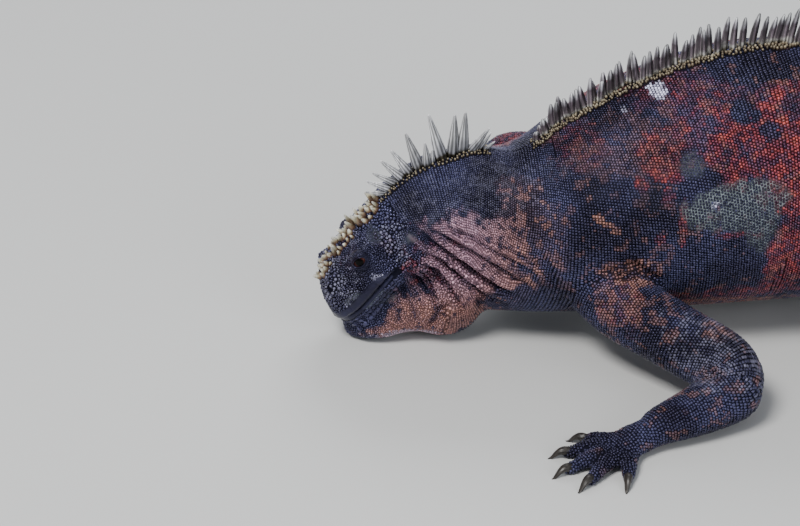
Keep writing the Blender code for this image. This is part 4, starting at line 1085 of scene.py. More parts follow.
napeSpines = [
    (65.2, 8.7, -34), (67.2, 12.2, -24), (69.8, 13.6, -22), (72.4, 14.6, -14), (75.0, 16.0, -8), (78.0, 19.6, 3),
    (80.6, 13.6, 8), (82.0, 7.4, 9), (84.8, 24.6, -7), (88.9, 22.0, 9), (92.6, 20.6, 8), (96.4, 15.5, 27),
    (99.4, 8.7, 30), (101.8, 5.4, 36),
]
crestForm = {"start": 128.0, "step": 3.35, "tailStep": 5.0, "lean": 4.0, "width": 2.2}
crestHeights = smoothCurve([(128, 5), (140, 11), (165, 15.5), (190, 17), (225, 17.2), (300, 16), (380, 12),
                            (425, 10), (560, 8.4), (760, 5.8), (990, 2.2)])
scuteRows = [
    # degrees from the ridge, first and last distance, spacing, height, width
    (0.0, 12.0, 62.5, 3.2, 4.4, 4.1), (8.5, 11.0, 62.5, 3.2, 4.2, 3.9), (16.5, 14.0, 61.0, 2.9, 3.0, 3.3),
]


def onRidge(distance, degrees=0.0):
    # the skin's place on or beside the ridge, its normal and the way back
    centre, back, up, aside = frameAt(distance)
    turn = math.radians(degrees)
    ahead = up * math.cos(turn) + aside * math.sin(turn)
    hit, normal, _, _ = skinTree.ray_cast(Vector(toScene(centre)), ahead)
    if hit is None:
        return None
    normal = (normal + ahead).normalized()
    return hit, normal, (back - normal * back.dot(normal)).normalized()


def spineRows(occupied):
    rng = random.Random(5)
    nape, crest, bases = Coat(), Coat(), Coat()
    for distance, height, lean in napeSpines:
        found = onRidge(distance, rng.uniform(-2, 2))
        hit, normal, back = found
        around = 2.5 + 0.21 * height
        occupied.hold(hit, around * mm / 2)
        nape.add(hit, normal, back, around * mm, around * 0.74 * mm, height * mm, (distance / 1000, 0.5),
                 math.radians(lean))
    distance = crestForm["start"]
    while distance < 992:
        step = crestForm["step"] + (crestForm["tailStep"] - crestForm["step"]) * float(smoothStep(400, 600, distance))
        height = float(crestHeights(distance)[0]) * rng.uniform(0.78, 1.1)
        found = onRidge(distance, rng.uniform(-1.5, 1.5))
        if found is None:
            break
        hit, normal, back = found
        tip = normal + Vector((0, 1, 0)) * rng.uniform(-0.09, 0.09)
        thin = max(0.9, crestForm["width"] * min(1.0, height / 9.0))
        occupied.hold(hit, thin * mm / 2)
        crest.add(hit, tip.normalized(), back, step * 1.2 * mm, thin * mm, height * mm, (distance / 1000, 0.5),
                  math.radians(crestForm["lean"] + rng.uniform(-7, 7)))
        distance += step
    # raised scales in uneven rows along each side of the spines' foot
    for first, last, outward in ((63.0, 104.0, 2.3), (126.0, 985.0, 1.6), (126.0, 985.0, 2.9), (63.0, 104.0, 3.7),
                                 (126.0, 560.0, 4.1)):
        distance = first
        while distance < last:
            flat = min(1.0, section(distance)[0] / 14)
            wide = float(scalePitch(distance)[0]) * rng.uniform(0.95, 1.55) * (0.5 + 0.5 * flat)
            for side in (-1, 1):
                across = math.degrees(math.atan2(outward * flat, section(distance)[1])) + rng.uniform(-0.3, 0.3)
                found = onRidge(distance + rng.uniform(-0.4, 0.4), side * across)
                if found is None:
                    continue
                hit, normal, back = found
                if occupied.near(hit, wide * mm / 2, 0.52):
                    continue
                occupied.hold(hit, wide * mm / 2)
                bases.add(hit, normal, back, wide * mm, wide * mm, wide * rng.uniform(0.7, 1.1) * mm,
                          (distance / 1000, 0.5 + 0.004 * outward * side))
            distance += wide * 0.8
    return nape, crest, bases


def headScutes(occupied):
    rng = random.Random(8)
    coat = Coat()
    for degrees, first, last, spacing, height, width in scuteRows:
        for side in ((1,) if degrees == 0 else (-1, 1)):
            distance = first + rng.uniform(0, 1.5)
            while distance < last:
                found = onRidge(distance + rng.uniform(-0.5, 0.5), side * degrees + rng.uniform(-2.5, 2.5))
                size = rng.uniform(0.8, 1.2)
                if found and not occupied.near(found[0], width * size * mm / 2, 0.66):
                    hit, normal, back = found
                    occupied.hold(hit, width * size * mm / 2)
                    coat.add(hit, normal, back, width * size * rng.uniform(0.95, 1.15) * mm,
                             width * size * rng.uniform(0.9, 1.05) * mm,
                             height * size * (0.55 + 0.75 * (distance / 60) ** 1.3) * rng.uniform(0.75, 1.25) * mm,
                             (distance / 80, 0.5 + side * degrees / 360), math.radians(rng.uniform(-18, 22)))
                distance += spacing * size
    return coat


occupied = Occupied()
nape, crest, crestFoot = spineRows(occupied)
scutes = headScutes(occupied)
lips = Coat()
for side in (-1, 1):
    for level in (-3.9, -6.4, -8.9):
        jawPlates(occupied, lips, level, side)
beads = coverHead(occupied)
sideCoats = {-1: Coat(), 1: Coat()}
trunkRows(occupied, 64.0, 996.0, sideCoats, None)
legCoat = Coat()
bands = len(legRows) + len(feet) * 6
band = 0
for name, path in legRows.items():
    legRowsOnSkin(occupied, path, legCoat, 1.54, 1.28, (band, bands))
    band += 1
for name in feet:
    sole, toePaths, _ = footParts(name)
    for path, pitch in [(sole, 1.6)] + [(toe, 1.5) for toe in toePaths]:
        legRowsOnSkin(occupied, path, legCoat, pitch, 1.3, (band, bands), 30)
        band += 1
report(f"rows of {len(sideCoats[-1].rows)}, {len(sideCoats[1].rows)} and {len(legCoat.rows)} scales")


def clearOfEars(form):
    apart = [np.linalg.norm(form - np.array(trunkPoint(62.5, side * 80.0)[0]), axis=1) for side in (-1, 1)]
    return np.minimum(*apart) > 3.3


def fillBare(occupied):
    # small scales wherever the rows left skin bare
    rng = np.random.RandomState(23)
    coat = Coat()
    samples = skinSamples(190000, rng, lambda form: (form[:, 2] > 1.2) & clearOfEars(form))
    form = toForm(samples[0])
    zone = headZones(form)
    far = (headCoordinates(form)[0] > 62) | (form[:, 0] > 58)
    radii = np.where(far, 0.98, zone) * mm
    unwrap = np.column_stack([form[:, 0] / 1000, 0.5 + form[:, 1] / 420])
    scatter(occupied, coat, samples, radii, 0.86, 0.6, unwrap)
    scatter(occupied, coat, samples, radii * 0.66, 0.9, 0.6, unwrap)
    # the folds of the neck hold the finest
    samples = skinSamples(50000, rng, lambda form: (np.abs(form[:, 0] - 74) < 36) & (np.abs(form[:, 2] - 44) < 36)
                          & clearOfEars(form))
    form = toForm(samples[0])
    unwrap = np.column_stack([form[:, 0] / 1000, 0.5 + form[:, 1] / 420])
    scatter(occupied, coat, samples, np.full(len(form), 0.52 * mm), 0.86, 0.6, unwrap)
    # and more of them in the strip along the ridge
    ridge = [onRidge(distance) for distance in range(60, 990, 5)]
    ridge = toForm(np.array([found[0] for found in ridge if found]))
    ridge = ridge[np.argsort(ridge[:, 0])]

    def onStrip(form):
        apart = np.abs(form[:, 1] - np.interp(form[:, 0], ridge[:, 0], ridge[:, 1]))
        below = np.interp(form[:, 0], ridge[:, 0], ridge[:, 2]) - form[:, 2]
        return (apart < 5.5) & (below < 9) & (form[:, 0] > 46)

    samples = skinSamples(26000, rng, onStrip)
    form = toForm(samples[0])
    unwrap = np.column_stack([form[:, 0] / 1000, 0.5 + form[:, 1] / 420])
    for radius in (0.8, 0.6, 0.45):
        scatter(occupied, coat, samples, np.full(len(form), radius * mm), 0.84, 0.7, unwrap)
    return coat


filled = fillBare(occupied)
report(f"head beads {len(beads.rows)}, filled in {len(filled.rows)}")


# materials

def nodeTools(tree):
    # short ways to add nodes to a tree
    nodes, links = tree.nodes, tree.links

    def add(kind, inputs=None, **settings):
        node = nodes.new(kind)
        for key, value in settings.items():
            setattr(node, key, value)
        for key, value in (inputs or {}).items():
            if isinstance(value, bpy.types.NodeSocket):
                links.new(value, node.inputs[key])
            else:
                node.inputs[key].default_value = value
        return node

    def blend(factor, first, second, kind="MIX"):
        # first and second may be colours or sockets
        node = add("ShaderNodeMix", {0: factor, 6: first, 7: second}, data_type="RGBA", blend_type=kind)
        return node.outputs[2]

    def ramp(value, fromLow, fromHigh, toLow, toHigh):
        node = add("ShaderNodeMapRange", {0: value, 1: fromLow, 2: fromHigh, 3: toLow, 4: toHigh})
        return node.outputs[0]

    def objectNoise(scale, detail=2.0, stretch=None):
        place = add("ShaderNodeTexCoord").outputs["Object"]
        if stretch:
            place = add("ShaderNodeMapping", {"Vector": place, "Scale": stretch}).outputs[0]
        return add("ShaderNodeTexNoise", {"Vector": place, "Scale": scale, "Detail": detail}).outputs["Fac"]

    return add, blend, ramp, objectNoise


tintForm = {
    "black": (0.010, 0.009, 0.016, 1), "blue": (0.032, 0.033, 0.068, 1), "red": (0.265, 0.046, 0.034, 1),
    "wine": (0.085, 0.015, 0.026, 1), "tan": (0.260, 0.118, 0.068, 1), "pink": (0.330, 0.190, 0.235, 1),
    "shed": (0.090, 0.106, 0.108, 1), "salt": (0.150, 0.168, 0.178, 1), "paleAndGlint": (0.500, 0.490, 0.640, 1),
    # the gap, shoulder and tip brightnesses paint shade low on each scale and between scales, and a highlight at each
    # scale's tip; the net brightnesses are the shed skin's own pale edges
    "gap": 0.10, "shoulder": 0.80, "tip": 2.0, "dullest": 0.62, "brightest": 1.42, "netEdge": 2.6, "netMiddle": 0.10,
}


def makeTintGroup():
    # colour, roughness and fine relief of skin and scales from the markings, a tone and the height on a scale; the
    # height also paints shade at the foot of each scale and a highlight at its tip
    group = bpy.data.node_groups.new("skinTint", "ShaderNodeTree")
    for name, kind in (("Marks", "Color"), ("PaleAndGlint", "Float"), ("Tone", "Float"), ("Rise", "Float")):
        group.interface.new_socket(name=name, in_out="INPUT", socket_type="NodeSocket" + kind)
    for name, kind in (("Color", "Color"), ("Roughness", "Float"), ("Normal", "Vector")):
        group.interface.new_socket(name=name, in_out="OUTPUT", socket_type="NodeSocket" + kind)
    add, blend, ramp, objectNoise = nodeTools(group)
    given = add("NodeGroupInput").outputs
    split = add("ShaderNodeSeparateColor", {0: given["Marks"]}).outputs
    cloud = ramp(objectNoise(42.0), 0.36, 0.64, 0.0, 1.0)
    colour = blend(cloud, tintForm["black"], tintForm["blue"])
    # red runs from wine to brick in clouds a few scales wide
    heat = ramp(objectNoise(210.0, 3.0), 0.38, 0.62, 0.0, 0.75)
    heat = add("ShaderNodeMath", {0: given["Tone"], 1: 0.35, 2: heat}, operation="MULTIPLY_ADD", use_clamp=True)
    red = blend(heat.outputs[0], tintForm["wine"], tintForm["red"])
    colour = blend(split[0], colour, red)
    # tan turns pink on the folds of the neck
    spot = add("ShaderNodeSeparateXYZ", {0: add("ShaderNodeTexCoord").outputs["Object"]}).outputs
    ahead = ramp(spot[0], -0.405, -0.375, 1.0, 0.12)
    above = ramp(spot[2], 0.024, 0.042, 0.25, 1.0)
    pinkShare = add("ShaderNodeMath", {0: ahead, 1: above}, operation="MULTIPLY").outputs[0]
    tan = blend(pinkShare, tintForm["tan"], tintForm["pink"])
    colour = blend(split[1], colour, tan)
    shed = blend(given["Tone"], tintForm["shed"], tintForm["salt"])
    # shed skin is palest along the edges of the scales
    netShare = ramp(given["Rise"], 0.54, 0.71, 1.0, 0.15)
    netShare = add("ShaderNodeMath", {0: split[2], 1: netShare}, operation="MULTIPLY").outputs[0]
    colour = blend(netShare, colour, shed)
    # pale spots of the hide, and painted glints where the pale mask holds them
    colour = blend(given["PaleAndGlint"], colour, tintForm["paleAndGlint"])
    # painted shade and highlight: darkest at the foot of a scale and on the bare skin, brightest at its tip where a
    # glint would be
    foot = ramp(given["Rise"], 0.05, 0.62, tintForm["gap"], tintForm["shoulder"])
    tip = ramp(given["Rise"], 0.62, 1.0, 1.0, tintForm["tip"] / tintForm["shoulder"])
    tone = ramp(given["Tone"], 0.0, 1.0, tintForm["dullest"], tintForm["brightest"])
    light = add("ShaderNodeMath", {0: foot, 1: tip}, operation="MULTIPLY").outputs[0]
    net = ramp(given["Rise"], 0.54, 0.71, tintForm["netEdge"], tintForm["netMiddle"])
    light = add("ShaderNodeMix", {0: split[2], 2: light, 3: net}).outputs[0]
    light = add("ShaderNodeMath", {0: light, 1: tone}, operation="MULTIPLY").outputs[0]
    colour = add("ShaderNodeVectorMath", {0: colour, 3: light}, operation="SCALE").outputs[0]
    rough = ramp(given["PaleAndGlint"], 0.0, 1.0, 0.27, 0.7)
    rough = add("ShaderNodeMath", {0: split[2], 1: 0.22, 2: rough}, operation="MULTIPLY_ADD").outputs[0]
    relief = add("ShaderNodeBump", {"Strength": 0.3, "Distance": 0.0003, "Height": objectNoise(1900.0)})
    out = add("NodeGroupOutput")
    for name, socket in (("Color", colour), ("Roughness", rough), ("Normal", relief.outputs[0])):
        group.links.new(socket, out.inputs[name])
    return group


tintGroup = makeTintGroup()


def newMaterial(name):
    made = bpy.data.materials.new(name)
    made.use_nodes = True
    return made, made.node_tree.nodes["Principled BSDF"]


def skinMaterial(name, gloss=0.0, specular=0.55):
    made, principled = newMaterial(name)
    add, blend, ramp, objectNoise = nodeTools(made.node_tree)
    marks = add("ShaderNodeAttribute", attribute_name="marks").outputs
    tone = add("ShaderNodeAttribute", attribute_name="tone").outputs["Fac"]
    rise = add("ShaderNodeAttribute", attribute_name="rise").outputs["Fac"]
    tint = add("ShaderNodeGroup", node_tree=tintGroup)
    links = made.node_tree.links
    links.new(marks["Color"], tint.inputs["Marks"])
    links.new(marks["Alpha"], tint.inputs["PaleAndGlint"])
    links.new(tone, tint.inputs["Tone"])
    links.new(rise, tint.inputs["Rise"])
    links.new(tint.outputs["Color"], principled.inputs["Base Color"])
    links.new(tint.outputs["Normal"], principled.inputs["Normal"])
    rough = add("ShaderNodeMath", {0: tint.outputs["Roughness"], 1: gloss}, operation="SUBTRACT", use_clamp=True)
    links.new(rough.outputs[0], principled.inputs["Roughness"])
    principled.inputs["Specular IOR Level"].default_value = specular
    principled.inputs["Specular Tint"].default_value = (0.56, 0.55, 1.0, 1)
    return made


def hornMaterial(name, stops, rough, streak):
    # colours from foot to tip, changed by a tone, by streaks along the horn and by painted shade in the grooves of
    # fluted spines
    made, principled = newMaterial(name)
    add, blend, ramp, objectNoise = nodeTools(made.node_tree)
    rise = add("ShaderNodeAttribute", attribute_name="rise").outputs["Fac"]
    tone = add("ShaderNodeAttribute", attribute_name="tone").outputs["Fac"]
    wander = objectNoise(160.0)
    shifted = add("ShaderNodeMath", {0: wander, 1: 0.5, 2: rise}, operation="MULTIPLY_ADD").outputs[0]
    shifted = add("ShaderNodeMath", {0: shifted, 1: 0.25}, operation="SUBTRACT").outputs[0]
    bands = add("ShaderNodeValToRGB", {0: shifted})
    first, last = stops[0], stops[-1]
    bands.color_ramp.elements[0].position, bands.color_ramp.elements[0].color = first
    bands.color_ramp.elements[1].position, bands.color_ramp.elements[1].color = last
    for position, colour in stops[1:-1]:
        bands.color_ramp.elements.new(position).color = colour
    light = ramp(tone, 0.0, 1.0, 0.72, 1.2)
    lines = ramp(objectNoise(1.0, 1.0, (760.0, 760.0, 45.0)), 0.38, 0.6, 1.0 - streak, 1.0)
    light = add("ShaderNodeMath", {0: light, 1: lines}, operation="MULTIPLY").outputs[0]
    # painted shade: the grooves of a fluted spine are darkened to 0.3 of the ridges' brightness
    paintedGrooveShade = ramp(add("ShaderNodeAttribute", attribute_name="groove").outputs["Fac"], 0.25, 0.75, 1.0, 0.30)
    light = add("ShaderNodeMath", {0: light, 1: paintedGrooveShade}, operation="MULTIPLY").outputs[0]
    colour = add("ShaderNodeVectorMath", {0: bands.outputs[0], 3: light}, operation="SCALE").outputs[0]
    made.node_tree.links.new(colour, principled.inputs["Base Color"])
    principled.inputs["Roughness"].default_value = rough
    return made


scaleMaterial = skinMaterial("scales")
wetMaterial = skinMaterial("wetScales", 0.11, 0.8)
lipMaterial = skinMaterial("lips", 0.0, 0.35)
bareMaterial = skinMaterial("bareSkin", -0.45, 0.15)
napeMaterial = hornMaterial("napeHorn", [
    (0.02, (0.012, 0.011, 0.009, 1)), (0.13, (0.07, 0.06, 0.04, 1)), (0.24, (0.50, 0.50, 0.55, 1)),
    (0.55, (0.98, 0.98, 1.0, 1)),
], 0.2, 0.4)
crestMaterial = hornMaterial("crestHorn", [
    (0.0, (0.05, 0.042, 0.025, 1)), (0.12, (0.34, 0.29, 0.20, 1)), (0.22, (0.86, 0.83, 0.78, 1)),
    (0.32, (0.32, 0.26, 0.29, 1)), (0.62, (0.17, 0.13, 0.16, 1)), (0.80, (0.66, 0.63, 0.68, 1)),
    (0.92, (0.96, 0.96, 0.98, 1)),
], 0.28, 0.6)
scuteMaterial = hornMaterial("scuteHorn", [
    (0.1, (0.016, 0.011, 0.012, 1)), (0.38, (0.105, 0.052, 0.036, 1)), (0.54, (0.24, 0.165, 0.10, 1)),
    (0.70, (0.48, 0.44, 0.31, 1)), (1.0, (0.74, 0.73, 0.66, 1)),
], 0.36, 0.42)
footMaterial = hornMaterial("crestFootScales", [
    (0.0, (0.010, 0.009, 0.010, 1)), (0.4, (0.050, 0.036, 0.028, 1)), (0.72, (0.15, 0.11, 0.065, 1)),
    (0.95, (0.40, 0.35, 0.24, 1)),
], 0.4, 0.35)
clawMaterial = hornMaterial("claws", [
    (0.0, (0.030, 0.025, 0.024, 1)), (0.5, (0.017, 0.014, 0.013, 1)), (0.95, (0.045, 0.036, 0.030, 1)),
], 0.4, 0.3)


def tintMesh(mesh, tone, rise, paleAndGlintShare=0.12, share=1.0):
    # the attributes that the skin's material reads; the rise given sets how much painted shade the tint puts on the
    # mesh
    count = len(mesh.vertices)
    points = np.empty(count * 3, np.float32)
    mesh.vertices.foreach_get("co", points)
    form = toForm(points.reshape(-1, 3))
    pointAttribute(mesh, "tone", np.full(count, tone) + 0.3 * (latticeNoise(form, 2.2, 31) - 0.5))
    marks = markings(form, np.full(count, 0.0)) * share
    # the pale mask, white spots and painted glints, is kept at this share
    marks[:, 3] *= paleAndGlintShare
    # between the scales of the throat and its folds the rise is raised, so the painted shade of the gaps is weaker and
    # the skin is lighter
    pointAttribute(mesh, "rise", rise + 0.22 * marks[:, 1] * smoothStep(118, 90, form[:, 0]))
    colours = mesh.attributes.new("marks", "FLOAT_COLOR", "POINT")
    colours.data.foreach_set("color", marks.astype(np.float32).ravel())


# the coat

# the bare skin between the scales gets a low rise, which paints it with the dark shade of the gaps
tintMesh(skin.data, 0.35, 0.16)
skin.data.materials.append(bareMaterial)
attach(skin, "root")
flesh = [n for n in nodeNames if "claw" not in n and "eye" not in n]
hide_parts(*flesh)
bpy.data.objects.remove(trunk, do_unlink=True)

stampPiece("head_beads", beadShape, beads.table(), wetMaterial, 41, unevenness=0.06)
stampPiece("jaw_plates", plateShape, lips.table(), wetMaterial, 42, unevenness=0.04)
stampPiece("left_scales", scaleShape, sideCoats[-1].table(), scaleMaterial, 50)
stampPiece("right_scales", scaleShape, sideCoats[1].table(), scaleMaterial, 60)
stampPiece("leg_scales", scaleShape, legCoat.table(), scaleMaterial, 70)
stampPiece("fold_scales", beadShape, filled.table(), scaleMaterial, 80)
stampPiece("crest_foot_scales", beadShape, crestFoot.table(), footMaterial, 90)
stampPiece("head_scutes", scuteShape, scutes.table(), scuteMaterial, 91, unevenness=0.16, tilt=0.12)
stampPiece("nape_spines", spineShape, nape.table(), napeMaterial, 92, sunk=0.12, unevenness=0.03, tilt=0.0)
stampPiece("crest_spines", bladeShape, crest.table(), crestMaterial, 93, sunk=0.12, bend=0.05,
           unevenness=0.04, tilt=0.02)
report("coat")


# eyes and lids

eyeForm = {"along": 3.3, "across": 2.2, "iris": 0.74, "pupil": 0.36}


def dress(obj, materialUsed, slotName, *nodes):
    obj.data.materials.append(materialUsed)
    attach(obj, "root")
    if nodes:
        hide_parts(*nodes)


def eyeMaterial():
    made, principled = newMaterial("eye")
    add, blend, ramp, objectNoise = nodeTools(made.node_tree)
    gaze = add("ShaderNodeAttribute", attribute_name="gaze").outputs["Fac"]
    bands = add("ShaderNodeValToRGB", {0: gaze})
    bands.color_ramp.elements[0].position, bands.color_ramp.elements[0].color = 0.0, (0.02, 0.012, 0.012, 1)
    bands.color_ramp.elements[1].position, bands.color_ramp.elements[1].color = 1.0, (0.002, 0.002, 0.002, 1)
    for position, colour in ((0.62, (0.02, 0.009, 0.009, 1)), (0.74, (0.040, 0.012, 0.010, 1)),
                             (0.87, (0.070, 0.018, 0.014, 1)), (0.90, (0.024, 0.009, 0.008, 1)),
                             (0.915, (0.002, 0.002, 0.002, 1))):
        bands.color_ramp.elements.new(position).color = colour
    fleck = ramp(objectNoise(1400.0), 0.35, 0.65, 0.6, 1.25)
    colour = add("ShaderNodeVectorMath", {0: bands.outputs[0], 3: fleck}, operation="SCALE").outputs[0]
    made.node_tree.links.new(colour, principled.inputs["Base Color"])
    principled.inputs["Roughness"].default_value = 0.05
    principled.inputs["Specular IOR Level"].default_value = 0.09
    return made


def makeEye(side, materialUsed):
    # a smooth ball whose poles lie on the line of sight
    centre, back, across, out = eyeAxes(side)
    radius = (headForm["eyeball"] - 1.3) * mm
    ballCentre = toScene(Vector(centre) + out)
    deselectAll()
    bpy.ops.mesh.primitive_uv_sphere_add(segments=48, ring_count=28, radius=radius)
    eye = bpy.context.active_object
    turn = out.to_track_quat("Z", "Y").to_matrix().to_4x4()
    eye.data.transform(Matrix.Translation(Vector(ballCentre)) @ turn)
    eye.name = eye.data.name = ("left" if side < 0 else "right") + "_eyeball"
    eye.data.shade_smooth()
    gaze = [(np.array(v.co) - ballCentre) @ np.array(out) / radius for v in eye.data.vertices]
    pointAttribute(eye.data, "gaze", np.clip(gaze, 0, 1))
    dress(eye, materialUsed, "eye", "left_eye" if side < 0 else "right_eye")


# each ring of the lids: reach along and across the opening, height over the eyeball, share taken from the skin
lidRings = [
    (0.92, 0.88, -0.85, 0.0), (1.0, 1.0, 0.18, 0.0), (1.09, 1.12, 0.50, 0.0), (1.18, 1.24, 0.40, 0.05),
    (1.24, 1.32, 0.10, 0.10), (1.31, 1.42, 0.34, 0.16), (1.39, 1.53, 0.40, 0.22), (1.45, 1.61, 0.04, 0.30),
    (1.53, 1.72, 0.26, 0.38), (1.62, 1.84, 0.30, 0.50), (1.69, 1.94, -0.02, 0.62), (1.80, 2.10, 0.14, 0.76),
    (1.92, 2.28, 0.10, 0.90), (2.06, 2.48, -0.05, 1.0), (2.20, 2.66, -0.40, 1.0),
]


def makeLids(side):
    centre, back, across, out = eyeAxes(side)
    around = 56
    rings = []
    for reachAlong, reachAcross, lift, share in lidRings:
        ring = []
        for k in range(around):
            turn = 2 * math.pi * k / around
            point = 0.16 * math.cos(2 * turn) * (1 - share)
            u = eyeForm["along"] * reachAlong * math.cos(turn) * (1 + point * 0.5)
            v = eyeForm["across"] * reachAcross * math.sin(turn)
            ripple = 0.18 * math.sin(turn * 9 + reachAlong * 7) * share
            ball = math.sqrt(max(headForm["eyeball"] ** 2 - u * u - v * v, 4.0))
            flat = Vector(centre) + back * u + across * v
            hit, normal, _, _ = skinTree.ray_cast(Vector(toScene(flat + out * 14)), -out)
            ground = (Vector(toForm(hit)) - flat).dot(out) if hit else ball
            cover = ball + 0.35 if u * u + v * v < (headForm["eyeball"] - 0.9) ** 2 else -9.0
            height = max((ball + 0.15) * (1 - share) + ground * share, cover * min(1.0, share * 9)) + lift + ripple
            ring.append(flat + out * height)
        rings.append(ring)
    points = [p for ring in rings for p in ring]
    faces = []
    for r in range(len(rings) - 1):
        for k in range(around):
            a, b = r * around + k, r * around + (k + 1) % around
            faces.append((a, b, b + around, a + around))
    mesh = bpy.data.meshes.new("lids")
    mesh.from_pydata(toScene(points), [], faces)
    lids = bpy.data.objects.new(("left" if side < 0 else "right") + "_lids", mesh)
    bpy.context.scene.collection.objects.link(lids)
    applyModifier(lids, "SUBSURF", levels=1)
    lids.data.shade_smooth()
    tintMesh(lids.data, 0.30, 0.42)
    dress(lids, scaleMaterial, "skin_head")
    beadLids(side, surfaceTree(lids))


def beadLids(side, tree):
    # small beads in rings over the outer half of the lids
    rng = random.Random(17 + side)
    centre, back, across, out = eyeAxes(side)
    coat = Coat()
    for ring, reach in enumerate((1.44, 1.60, 1.77, 1.95, 2.12, 2.28)):
        reachAlong, reachAcross = eyeForm["along"] * reach, eyeForm["across"] * (reach + 0.22 * (reach - 1) / 0.6)
        count = int(math.pi * (reachAlong + reachAcross) / 1.12)
        for k in range(count):
            turn = 2 * math.pi * (k + 0.5 * (ring % 2) + rng.uniform(-0.2, 0.2)) / count
            spot = Vector(centre) + back * reachAlong * math.cos(turn) + across * reachAcross * math.sin(turn)
            hit, normal, _, _ = tree.ray_cast(Vector(toScene(spot + out * 14)), -out)
            if hit is None:
                continue
            size = rng.uniform(0.9, 1.25)
            along = (back - normal * back.dot(normal)).normalized()
            coat.add(hit, normal, along, size * mm, size * mm, size * 0.42 * mm, (0.5 + reach * 0.1, k / count))
    name = ("left" if side < 0 else "right") + "_lid_beads"
    stampPiece(name, beadShape, coat.table(), wetMaterial, 44 + side, unevenness=0.06)


eyeShader = eyeMaterial()
for side in (-1, 1):
    makeEye(side, eyeShader)
    makeLids(side)
report("eyes")


# claws

def modelClaw():
    # a round root, extruded forward in steps, each bent down and drawn in a little more
    deselectAll()
    bpy.ops.mesh.primitive_cylinder_add(vertices=10, radius=1.0, depth=0.4, rotation=(0, math.pi / 2, 0))
    claw = bpy.context.active_object
    bpy.ops.object.transform_apply(location=False, rotation=True, scale=False)
    selectFaces(claw, lambda face: face.normal.x > 0.9)
    heading, spot = 18.0, Vector((0.2, 0, 0))
    for i, size in enumerate((0.97, 0.86, 0.73, 0.58, 0.43, 0.28, 0.13)):
        bpy.ops.mesh.extrude_region_move(TRANSFORM_OT_translate={"value": (0, 0, 0)})
        turn = math.radians(heading)
        move = Vector((math.cos(turn), 0, math.sin(turn))) * 1.25
        bpy.ops.transform.translate(value=move)
        spot = spot + move
        ratio = size / (1.0 if i == 0 else (0.97, 0.86, 0.73, 0.58, 0.43, 0.28, 0.13)[i - 1])
        bpy.ops.transform.resize(value=(ratio, ratio, ratio), center_override=spot)
        heading -= 13.0
    bpy.ops.object.mode_set(mode="OBJECT")
    points = np.array([v.co for v in claw.data.vertices], float)
    faces = [list(p.vertices) for p in claw.data.polygons]
    bpy.data.objects.remove(claw, do_unlink=True)
    points[:, 0] -= points[:, 0].min()
    return points / points[:, 0].max(), faces


def makeClaws(name, shape):
    points, faces = shape
    _, _, claws = footParts(name)
    corners, loops, rises = [], [], []
    for toe, ahead in claws:
        across = Vector((0, 0, 1)).cross(ahead).normalized()
        thick = toeForm["clawRoot"] / np.abs(points[:, 1]).max()
        start = len(corners)
        for x, y, z in points:
            place = toe + ahead * (x * (toeForm["claw"] + 1.5) - 1.8) + across * (y * thick)
            place.z = max(toe.z + 0.4 + z * thick * 1.05, 0.12)
            corners.append(place)
            rises.append(x)
        loops += [[start + i for i in face] for face in faces]
    mesh = bpy.data.meshes.new(name + "_claws")
    mesh.from_pydata(toScene(corners), [], loops)
    claws = bpy.data.objects.new(name + "_claws", mesh)
    bpy.context.scene.collection.objects.link(claws)
    applyModifier(claws, "SUBSURF", levels=1)
    pointAttribute(mesh, "rise", np.interp(np.arange(len(mesh.vertices)), np.arange(len(rises)), rises))
    mesh.shade_smooth()
    dress(claws, clawMaterial, "claw", *[f"{name}_claw_{i}" for i in range(1, 6)])


for side in (-1, 1):
    for label, level, width, raised in (("upper", 2.9, 6.0, 0.85), ("lower", -1.2, 2.4, 0.55)):
        name = f"{'left' if side < 0 else 'right'}_{label}_lip"
        band, rise = lipBand(name, side, level, width, raised)
        # the lips keep most of the pale mask, whose patch over the upper lip is a painted glint, and their rise, set
        # below, paints shade on the band's edges and notches
        tintMesh(band.data, 0.5, 0.6, 0.8, 0.12)
        band.data.attributes["rise"].data.foreach_set("value", np.array(rise, np.float32))
        dress(band, lipMaterial, "skin_head")

clawShape = modelClaw()
for name in feet:
    makeClaws(name, clawShape)
report("claws")


# floor, lights and camera

def plainMaterial(name, colour, rough):
    made, principled = newMaterial(name)
    principled.inputs["Base Color"].default_value = colour
    principled.inputs["Roughness"].default_value = rough
    return made


deselectAll()
bpy.ops.mesh.primitive_plane_add(size=12.0, location=(0, 0, 0))
floor = bpy.context.active_object
floor.name = "floor"
floor.data.materials.append(plainMaterial("floor", (0.62, 0.62, 0.61, 1), 0.7))


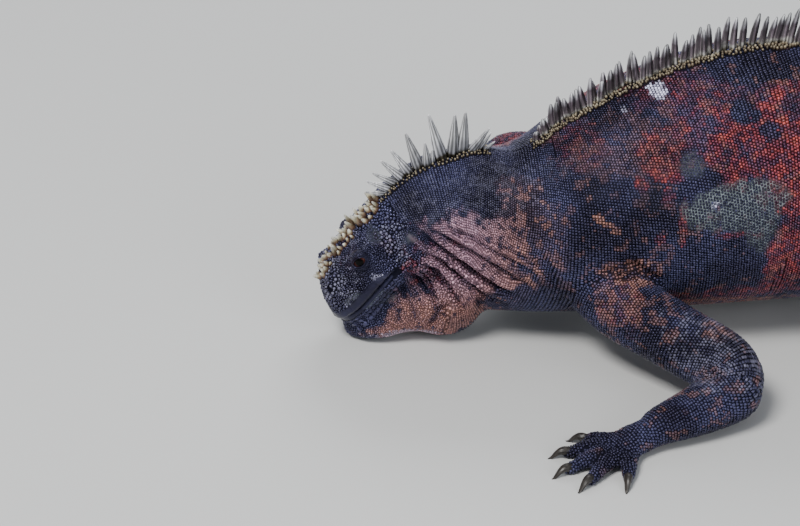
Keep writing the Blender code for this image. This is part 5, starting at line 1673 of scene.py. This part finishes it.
def areaLight(name, place, aim, size, power, colour):
    data = bpy.data.lights.new(name, "AREA")
    data.shape = "RECTANGLE"
    data.size, data.size_y = size
    data.energy = power
    data.color = colour
    lamp = bpy.data.objects.new(name, data)
    lamp.location = place
    lamp.rotation_euler = (Vector(aim) - Vector(place)).to_track_quat("-Z", "Y").to_euler()
    bpy.context.scene.collection.objects.link(lamp)


areaLight("keyLight", (-1.3, -0.9, 1.9), (-0.3, 0, 0.05), (0.8, 0.6), 52.0, (1.0, 0.99, 0.97))
areaLight("fillLight", (0.9, -1.9, 1.1), (-0.2, 0, 0.05), (1.4, 1.0), 16.0, (0.93, 0.96, 1.0))
areaLight("backLight", (0.3, 1.7, 1.6), (-0.2, 0, 0.08), (1.4, 0.8), 26.0, (0.95, 0.97, 1.0))
world = bpy.data.worlds.new("studio")
world.use_nodes = True
world.node_tree.nodes["Background"].inputs["Color"].default_value = (0.80, 0.85, 0.92, 1)
world.node_tree.nodes["Background"].inputs["Strength"].default_value = 0.42
bpy.context.scene.world = world

cameraForm = {"target": (41.1, -1.0, 38.7), "azimuth": 10.92, "elevation": 29.51, "distance": 1400.0, "fov": 16.46,
              "roll": 1.54}


def makeCamera():
    azimuth, elevation = math.radians(cameraForm["azimuth"]), math.radians(cameraForm["elevation"])
    away = Vector((-math.sin(azimuth) * math.cos(elevation), -math.cos(azimuth) * math.cos(elevation),
                   math.sin(elevation)))
    right = (-away).cross(Vector((0, 0, 1))).normalized()
    up = right.cross(-away)
    roll = math.radians(cameraForm["roll"])
    right, up = right * math.cos(roll) + up * math.sin(roll), up * math.cos(roll) - right * math.sin(roll)
    data = bpy.data.cameras.new("camera")
    data.sensor_fit = "HORIZONTAL"
    data.angle_x = math.radians(cameraForm["fov"])
    camera = bpy.data.objects.new("camera", data)
    place = Vector(toScene(Vector(cameraForm["target"]) + away * cameraForm["distance"]))
    camera.matrix_world = Matrix.Translation(place) @ Matrix((right, up, away)).transposed().to_4x4()
    bpy.context.scene.collection.objects.link(camera)
    bpy.context.scene.camera = camera


makeCamera()
